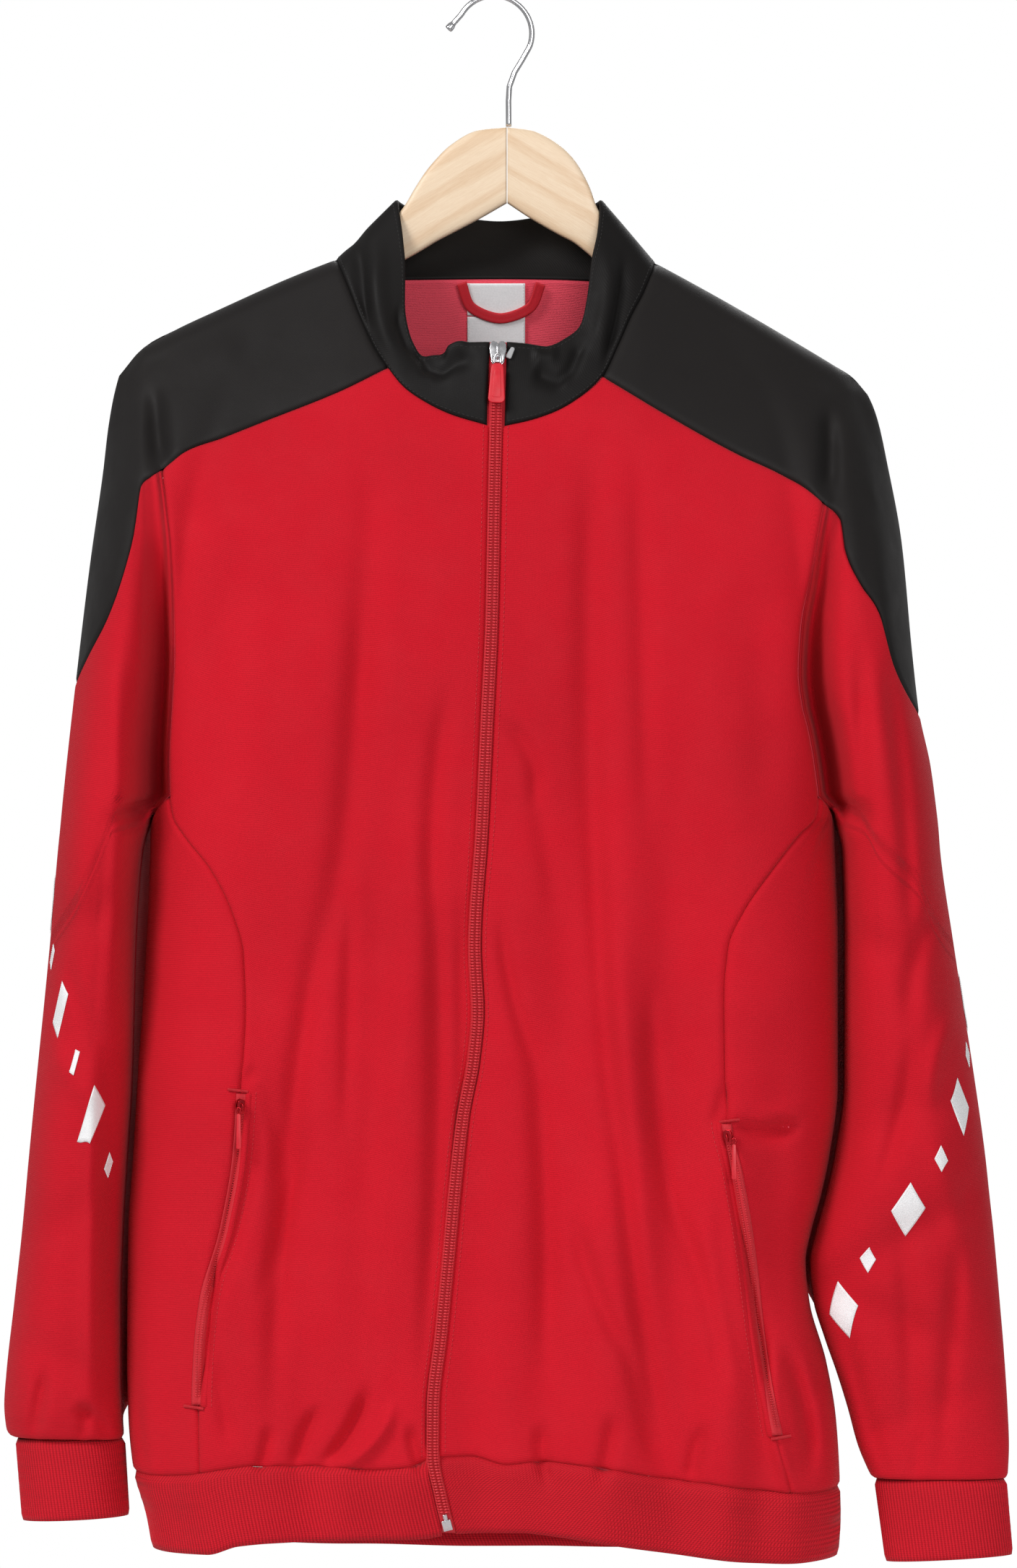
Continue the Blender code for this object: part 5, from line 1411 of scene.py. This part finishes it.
def make_zip_pull():
    """The long red tab that hangs from the slider's bridge."""
    foot, top = line_on(zip_line, 0.0, [zip_t(-232.0), zip_t(SLIDER_Z)])[0]
    along = unit(top - foot)
    out = unit(np.array([0.0, -along[2], along[1]]))
    at = (box_middle("zip_pull"), np.cross(out, along), out, along)
    eye = [(1.9 * math.cos(a), 0.0, 7.9 + 4.4 * math.sin(a)) for a in np.linspace(-0.35, math.pi + 0.35, 24)]
    pull = joined("zip_pull_tab", [
        plate("pull_tab", rounded_outline(9.4, 7.0, -16.6, 6.4, 2.6), -0.8, 0.8, at, "red moulding", 0.5),
        plate("pull_ridge", rounded_outline(5.2, 3.6, -13.5, 3.0, 1.2), 0.5, 1.05, at, "red moulding", 0.3),
        wire("pull_eye", eye, 0.6, at, "zip metal"),
    ])
    hold(pull, "zip_pull", ["zip_pull"])


def make_pockets(pitch):
    t = np.linspace(0, 1, 90)
    body = [(-1.6, -4.2), (1.6, -4.2), (2.6, 0.6), (2.3, 3.4), (0.0, 4.3), (-2.3, 3.4), (-2.6, 0.6)]
    eye = [(0, 1.2, 2.0), (0, 2.2, 1.4), (0, 2.5, 0.0), (0, 2.2, -1.8), (0, 1.2, -2.4)]
    loop = [(1.05 * math.cos(a), 0, 9.6 + 1.9 * math.sin(a)) for a in np.linspace(-0.9, math.pi + 0.9, 16)]
    for side, sign in SIGN.items():
        top, low = POCKETS[side]
        strip = pocket_surface(side)
        sew("pocket_tape_" + side, strip, np.linspace(-2.8, 2.8, 9), t, "red tape", 0.9,
            ["pocket_zip_" + side], lift=0.9, flip=sign < 0)
        lines = [line_on(strip, across, np.linspace(0.03, 0.97, 90), sign < 0) for across in (-0.75, 0.75)]
        # The pocket coil takes the nylon whose paler tint is partly a painted highlight
        coil = grow_rows("pocket_coil_" + side, lines, (pitch * 0.85, 0.0007, 0.0015, 0.0009),
                         "red nylon with painted highlight", 1.2)
        hold(coil, "jacket", ())
        # Welt: a rolled fold of the front along the zip
        sew("pocket_welt_" + side, strip, np.linspace(-5.8, -2.0, 11), np.linspace(-0.01, 1.01, 90),
            "red knit", 1.4, lift=1.2, flip=sign < 0, tuck=(0.8, 0.8, 0.6, 0.6), tuck_width=0.9)
        axes = local_frame(strip, (top - 7.0 - low) / (top - low), sign < 0)[1:]
        at = (box_middle("pocket_slider_" + side), *axes)
        slider = joined("pocket_slider_metal_" + side, [
            plate("top", body, 0.4, 1.3, at, "red enamel", 0.3),
            plate("foot", body, -1.4, -0.7, at, "red enamel", 0.2),
            plate("post", rounded_outline(1.6, 1.6, -1.0, 3.0, 0.3), -0.9, 0.6, at, "red enamel", 0.1),
            wire("eye", eye, 0.4, at, "red enamel"),
        ])
        hold(slider, "jacket", ["pocket_slider_" + side])
        at = (box_middle("pocket_pull_" + side), *np.diag([1.0, -1.0, 1.0]))
        pull = joined("pocket_pull_tab_" + side, [
            plate("tab", rounded_outline(2.9, 2.2, -11.8, 8.0, 1.0), -0.6, 0.6, at, "red moulding", 0.35),
            wire("loop", loop, 0.4, at, "red enamel"),
        ])
        hold(pull, "pocket_pull_" + side, ["pocket_pull_" + side])


def make_neck_trim():
    for name, (low, high) in LABELS.items():
        thing = sew(name + "_satin", label_surface(low, high), np.linspace(-LABEL_HALF, LABEL_HALF, 40),
                    np.linspace(0, 1, 18), "white satin", 0.5, [name], "white_label", lift=-2.6, flip=True)
    sew("hanging_loop_tape", loop_surface, np.linspace(-LOOP_WIDTH / 2, LOOP_WIDTH / 2, 9),
        np.linspace(0, 1, 90), "red tape", 1.0, ["hanging_loop"], lift=-3.8)


def make_wood():
    turn = np.linspace(0, 2 * np.pi, 40, endpoint=False)
    y = np.sign(np.cos(turn)) * np.abs(np.cos(turn)) ** 0.32
    z = np.sign(np.sin(turn)) * np.abs(np.sin(turn)) ** 0.5
    for side, sign in SIGN.items():
        count = len(WOOD[side]["x"])
        rows = dict(WOOD[side], k=np.arange(count, dtype=float))
        k = np.linspace(0, count - 1, 150)
        x, top, bottom = (curve(rows, "k", name, k)[:, None] for name in ("x", "top", "bottom"))
        end = quarter((len(k) - 1 - np.arange(len(k))) / 5.0)[:, None]
        deep = WOOD_HALF * (0.55 + 0.45 * end) * y
        tall = (top - bottom) / 2 * (0.9 + 0.1 * end) * z
        points = xyz(x + 0 * tall, deep, (top + bottom) / 2 + tall).reshape(-1, 3)
        slope = math.radians(-31) * sign
        along = points[:, 0] * math.cos(slope) + points[:, 2] * math.sin(slope)
        across = points[:, 2] * math.cos(slope) - points[:, 0] * math.sin(slope)
        grain = xyz(along + 400 * sign, across, points[:, 1] + 9)
        thing = solid("hanger_" + side + "_wood", points, tube_faces(len(k), len(turn)), UPRIGHT,
                      "pale wood", grain)
        hold(thing, "jacket", ["hanger_" + side])


def make_hook():
    points = list(zip(HOOK_STEM["x"], HOOK_STEM["z"]))
    for a in np.radians(range(-18, 151, 6)):
        points.append((HOOK_RADIUS * math.cos(a), HOOK_CENTRE_Z + HOOK_RADIUS * math.sin(a)))
    points += [(-22.6, -13.6), (-25.0, -16.4), HOOK_TIP]
    k = np.arange(len(points))
    x, z = (np.interp(np.linspace(0, k[-1], 260), k, axis) for axis in zip(*points))
    radius = np.full(len(x), WIRE_RADIUS)
    bead = np.linspace(0, 1, 14)
    radius[-14:] = WIRE_RADIUS * (1 + 0.45 * np.sqrt(np.clip(1 - (2 * bead - 1.15) ** 2, 0, 1)))
    radius[-1] = WIRE_RADIUS * 0.8
    hook = wire("hook_wire", xyz(x, 0 * x, z), radius, UPRIGHT, "hook wire", sides=20)
    hold(hook, "jacket", ["hook"])


def make_stitching(spacing):
    topstitch = (spacing, spacing * 0.8, 0.00055, 0.0005)
    lines = []
    for side, sign in SIGN.items():
        lines.append(line_on(front_surface(side), 0.0165, np.linspace(0.01, 1.99, 320), sign < 0))
        lines.append(line_on(pocket_surface(side), -8.2, np.linspace(0, 1, 100), sign < 0))
    hold(grow_rows("topstitch_red", lines, topstitch, "red thread", 0.12), "jacket", ())
    lines = []
    for side, sign in SIGN.items():
        top, low = POCKETS[side]
        for z in (top + 1.5, low - 1.5):
            x = sign * seam_x(np.array(z), side)
            reach = np.linspace(-7.5, 3.5, 24) * -sign
            at = cloth(x + reach, np.full_like(reach, z) + 0.12 * reach * sign, -1)
            lines.append((at, np.broadcast_to(np.array([0.0, -1.0, 0.0]), at.shape)))
    tacks = grow_rows("bar_tacks", lines, (0.00045, 0.0021, 0.0005, 0.0009, math.pi / 2), "red thread", 1.0)
    hold(tacks, "jacket", ())
    lines = [line_on(slumped_collar, np.linspace(0.15, 23.85, 500), up, True) for up in (0.93, 0.05)]
    hold(grow_rows("topstitch_black", lines, topstitch, "black thread", 0.3), "jacket", ())
    lines = []
    for low, high in LABELS.values():
        for across in (1.0 - LABEL_HALF, LABEL_HALF - 1.0):
            lines.append(line_on(label_surface(low, high), across, np.linspace(0.05, 0.98, 20)))
    white = grow_rows("label_stitch", lines, (0.0018, 0.0014, 0.0004, 0.0003), "white thread", 3.1)
    hold(white, "jacket", ())


def make_sleeve_figures():
    """A chain of large and small white lozenges laid slantwise round each forearm."""
    for side, sign in SIGN.items():
        s1, z1, s2, z2, count = FIGURES[side]
        sleeve = sleeve_surface(side)
        sizes = [FIGURE_SIZES[i % 2] for i in range(count)]
        patches = []
        seams = []
        for share, (wide, tall) in zip(np.linspace(0, 1, count), sizes):
            s0 = mix(s1, s2, share)
            top = curve(TONGUE[side], "share", "seam_z", (1 + np.cos(np.pi * abs(s0))) / 2) - SEAM
            low = CUFF_SEAM[side] + SEAM / 2
            t0 = (mix(z1, z2, share) - low) / (top - low)
            s = np.array([[s0]])
            t = np.array([[t0]])
            step = 0.02
            s_long = np.linalg.norm(sleeve(s + step, t) - sleeve(s - step, t)) / (2 * step)
            t_long = np.linalg.norm(sleeve(s, t + step) - sleeve(s, t - step)) / (2 * step)

            def lozenge(a, b):
                across = (a - b) * wide / s_long / 2
                along = (a + b) * tall / t_long / 2
                return sleeve(s0 + across, t0 + along + 0.35 * sign * across * s_long / t_long)

            half = np.linspace(-0.5, 0.5, 15)
            patches.append(shell("figure", lozenge, half, half, finishes()["white twill"], 0.5, lift=0.55,
                                 flip=sign < 0))
            rim = np.linspace(-0.43, 0.43, 12)
            for a, b in ((rim, -0.43), (0.43, rim), (-rim, 0.43), (-0.43, -rim)):
                seams.append(line_on(lozenge, a, b, sign < 0))
        chain = joined("sleeve_figures_" + side, patches)
        hold(chain, "jacket", ())
        stitches = grow_rows("figure_stitch_" + side, seams, (0.0012, 0.0009, 0.0004, 0.0003),
                             "white thread", 0.6)
        hold(stitches, "jacket", ())


# Studio, in metres: the floor's radius and level, what the lamps face, and the photo's camera with the
# height of its frame at the hanging plane and its sensor in millimetres
FLOOR_RADIUS, FLOOR_Z = 0.85, -0.985
LIT_POINT = (0.0, 0.0, -0.45)
CAMERA_PLACE = (0.0082, -5.0, -0.4457)
FRAME_TALL, SENSOR = 0.8897, 36.0


def make_stage(key, fill, sky):
    turn = np.linspace(0, 2 * np.pi, 96, endpoint=False)
    ring = [(FLOOR_RADIUS * math.cos(a), FLOOR_RADIUS * math.sin(a), FLOOR_Z) for a in turn]
    mesh = bpy.data.meshes.new("floor")
    mesh.from_pydata(ring, [], [tuple(range(len(ring)))])
    mesh.materials.append(Finish("pale floor", (0.82, 0.82, 0.82), 0.9).material)
    added("floor", mesh)
    scene = bpy.context.scene
    world = bpy.data.worlds.new("studio")
    world.use_nodes = True
    tree = world.node_tree
    tree.nodes.clear()
    out = tree.nodes.new("ShaderNodeOutputWorld")
    shine = tree.nodes.new("ShaderNodeBackground")
    shine.inputs["Color"].default_value = (1.0, 1.0, 1.0, 1.0)
    path = tree.nodes.new("ShaderNodeLightPath")
    level = tree.nodes.new("ShaderNodeMapRange")
    level.inputs["To Min"].default_value = sky
    level.inputs["To Max"].default_value = 1.0
    tree.links.new(path.outputs["Is Camera Ray"], level.inputs["Value"])
    tree.links.new(level.outputs["Result"], shine.inputs["Strength"])
    tree.links.new(shine.outputs["Background"], out.inputs["Surface"])
    scene.world = world
    for name, place, size, power in (
        ("softbox_front", (-2.5, -2.7, 2.0), 1.5, key),
        ("softbox_side", (1.0, -3.9, 0.4), 1.6, fill),
        ("softbox_back", (0.6, 2.6, 1.4), 2.0, fill * 0.9),
    ):
        light = bpy.data.lights.new(name, "AREA")
        light.energy = power
        light.size = size
        lamp = added(name, light)
        lamp.location = place
        lamp.rotation_euler = (Vector(LIT_POINT) - Vector(place)).to_track_quat("-Z", "Y").to_euler()
    camera = bpy.data.cameras.new("camera")
    camera.sensor_width = SENSOR
    camera.lens = SENSOR * -CAMERA_PLACE[1] / FRAME_TALL
    camera.clip_start = 0.1
    camera.clip_end = 100.0
    eye = added("camera", camera)
    eye.location = CAMERA_PLACE
    eye.rotation_euler = (math.radians(90), 0, 0)
    scene.camera = eye
    scene.view_settings.view_transform = "Standard"
    scene.view_settings.look = "None"


# ---------------------------------------------------------------- what a user may change


class JacketClothSettings(bpy.types.PropertyGroup):
    """Cloth sizes and colours."""

    wall: FloatProperty(name="Cloth thickness", description="Thickness of the knit", default=0.0013,
                        min=0.0008, max=0.002, unit="LENGTH", precision=4)
    course: FloatProperty(name="Course pitch", description="Height of one course of the knit",
                          default=0.00105, min=0.0005, max=0.003, unit="LENGTH", precision=5)
    rib: FloatProperty(name="Rib pitch", description="Width of one rib at hem and cuffs", default=0.0019,
                       min=0.0012, max=0.006, unit="LENGTH", precision=4)
    rib_height: FloatProperty(name="Rib height", description="How far each rib stands up", default=0.0006,
                              min=0.0, max=0.0015, unit="LENGTH", precision=4)
    red: FloatVectorProperty(name="Red", description="Body, sleeves and ribbing", subtype="COLOR", size=3,
                             default=(0.61, 0.0075, 0.0205), min=0.0, max=1.0)
    # The inner face's colour is paler than the red partly by nature and partly as painted light for the
    # shaded inside of the neck
    inside: FloatVectorProperty(name="Inside", description="Looped inner face of the red knit",
                                subtype="COLOR", size=3, default=(0.98, 0.1, 0.15), min=0.0, max=1.0)
    black: FloatVectorProperty(name="Black", description="Yokes and collar", subtype="COLOR", size=3,
                               default=(0.0145, 0.0125, 0.012), min=0.0, max=1.0)
    white: FloatVectorProperty(name="White", description="Labels and sleeve figures", subtype="COLOR", size=3,
                               default=(0.93, 0.93, 0.94), min=0.0, max=1.0)


class JacketTrimSettings(bpy.types.PropertyGroup):
    """Zip and sewing sizes."""

    tooth: FloatProperty(name="Tooth pitch", description="From one zip tooth to the next", default=0.00166,
                         min=0.0008, max=0.004, unit="LENGTH", precision=5)
    stitch: FloatProperty(name="Stitch length", description="From one topstitch to the next", default=0.0026,
                          min=0.0012, max=0.006, unit="LENGTH", precision=4)


class JacketHangerSettings(bpy.types.PropertyGroup):
    """Wood and wire."""

    pale: FloatVectorProperty(name="Pale wood", description="Light part of the grain",
                              subtype="COLOR", size=3, default=(0.89, 0.7, 0.5), min=0.0, max=1.0)
    grain: FloatVectorProperty(name="Dark grain", description="Dark part of the grain",
                               subtype="COLOR", size=3, default=(0.72, 0.47, 0.27), min=0.0, max=1.0)
    polish: FloatProperty(name="Wire roughness", description="Roughness of the hook's plating", default=0.14,
                          min=0.0, max=1.0, subtype="FACTOR")


class JacketStageSettings(bpy.types.PropertyGroup):
    """Studio light."""

    key: FloatProperty(name="Front light", description="Power of the front softbox", default=106.0, min=0.0,
                       unit="POWER")
    fill: FloatProperty(name="Side light", description="Power of the side softbox", default=56.0, min=0.0,
                        unit="POWER")
    sky: FloatProperty(name="Room light", description="Light from all round", default=0.32, min=0.0, max=3.0)


# ---------------------------------------------------------------- operators


class JACKET_OT_body(bpy.types.Operator):
    """Make the two fronts, the back and the side panels"""

    bl_idname = "jacket.body"
    bl_label = "Body panels"

    def execute(self, context):
        wall = context.scene.jacket_cloth.wall / MM
        make_fronts(wall)
        make_back(wall)
        make_side_panels(wall)
        return {"FINISHED"}


class JACKET_OT_sleeves(bpy.types.Operator):
    """Make the two sleeves"""

    bl_idname = "jacket.sleeves"
    bl_label = "Sleeves"

    def execute(self, context):
        make_sleeves(context.scene.jacket_cloth.wall / MM)
        return {"FINISHED"}


class JACKET_OT_yokes(bpy.types.Operator):
    """Make the shoulder yokes with their tongues down the sleeves"""

    bl_idname = "jacket.yokes"
    bl_label = "Yokes"

    def execute(self, context):
        make_yokes(context.scene.jacket_cloth.wall / MM)
        return {"FINISHED"}


class JACKET_OT_collar(bpy.types.Operator):
    """Make the slumped stand collar"""

    bl_idname = "jacket.collar"
    bl_label = "Collar"

    def execute(self, context):
        make_collar(context.scene.jacket_cloth.wall / MM)
        return {"FINISHED"}


class JACKET_OT_ribbing(bpy.types.Operator):
    """Make the ribbed hem band and cuffs"""

    bl_idname = "jacket.ribbing"
    bl_label = "Hem band and cuffs"

    def execute(self, context):
        cloth_sizes = context.scene.jacket_cloth
        make_ribbing(cloth_sizes.rib / MM, cloth_sizes.rib_height / MM)
        return {"FINISHED"}


class JACKET_OT_front_zip(bpy.types.Operator):
    """Make the front zip with its teeth, slider, pull tab and end box"""

    bl_idname = "jacket.front_zip"
    bl_label = "Front zip"

    def execute(self, context):
        make_front_zip(context.scene.jacket_trim.tooth)
        return {"FINISHED"}


class JACKET_OT_pockets(bpy.types.Operator):
    """Make the two zipped pockets"""

    bl_idname = "jacket.pockets"
    bl_label = "Pockets"

    def execute(self, context):
        make_pockets(context.scene.jacket_trim.tooth)
        return {"FINISHED"}


class JACKET_OT_neck_trim(bpy.types.Operator):
    """Make the blank labels and the hanging loop inside the neck"""

    bl_idname = "jacket.neck_trim"
    bl_label = "Labels and loop"

    def execute(self, context):
        make_neck_trim()
        return {"FINISHED"}


class JACKET_OT_stitching(bpy.types.Operator):
    """Make the rows of topstitching and the bar tacks"""

    bl_idname = "jacket.stitching"
    bl_label = "Stitching"

    def execute(self, context):
        make_stitching(context.scene.jacket_trim.stitch)
        return {"FINISHED"}


class JACKET_OT_sleeve_figures(bpy.types.Operator):
    """Sew the chain of lozenges round each sleeve"""

    bl_idname = "jacket.sleeve_figures"
    bl_label = "Sleeve lozenges"

    def execute(self, context):
        make_sleeve_figures()
        return {"FINISHED"}


class JACKET_OT_hanger(bpy.types.Operator):
    """Make the wooden hanger and its hook"""

    bl_idname = "jacket.hanger"
    bl_label = "Hanger"

    def execute(self, context):
        make_wood()
        make_hook()
        return {"FINISHED"}


class JACKET_OT_stage(bpy.types.Operator):
    """Set the floor, the studio light and the camera"""

    bl_idname = "jacket.stage"
    bl_label = "Stage"

    def execute(self, context):
        light = context.scene.jacket_stage
        make_stage(light.key, light.fill, light.sky)
        return {"FINISHED"}


OPERATORS = (
    JACKET_OT_stage,
    JACKET_OT_body,
    JACKET_OT_sleeves,
    JACKET_OT_yokes,
    JACKET_OT_collar,
    JACKET_OT_ribbing,
    JACKET_OT_front_zip,
    JACKET_OT_pockets,
    JACKET_OT_neck_trim,
    JACKET_OT_stitching,
    JACKET_OT_sleeve_figures,
    JACKET_OT_hanger,
)
SETTINGS = {
    "jacket_cloth": JacketClothSettings,
    "jacket_trim": JacketTrimSettings,
    "jacket_hanger": JacketHangerSettings,
    "jacket_stage": JacketStageSettings,
}


class JACKET_PT_panel(bpy.types.Panel):
    """Lists the jacket's settings and pieces"""

    bl_idname = "JACKET_PT_panel"
    bl_label = "Track jacket"
    bl_space_type = "VIEW_3D"
    bl_region_type = "UI"
    bl_category = "Jacket"

    def draw(self, context):
        for name, group in SETTINGS.items():
            box = self.layout.box()
            box.label(text=group.__doc__)
            for key in group.__annotations__:
                box.prop(getattr(context.scene, name), key)
        for operator in OPERATORS:
            self.layout.operator(operator.bl_idname)


CLASSES = (*SETTINGS.values(), *OPERATORS, JACKET_PT_panel)


def register():
    for item in CLASSES:
        bpy.utils.register_class(item)
    for name, group in SETTINGS.items():
        setattr(bpy.types.Scene, name, PointerProperty(type=group))


def unregister():
    for name in SETTINGS:
        delattr(bpy.types.Scene, name)
    for item in reversed(CLASSES):
        bpy.utils.unregister_class(item)


def main():
    register()
    for operator in OPERATORS:
        group, name = operator.bl_idname.split(".")
        getattr(getattr(bpy.ops, group), name)()


if __name__ == "__main__":
    main()
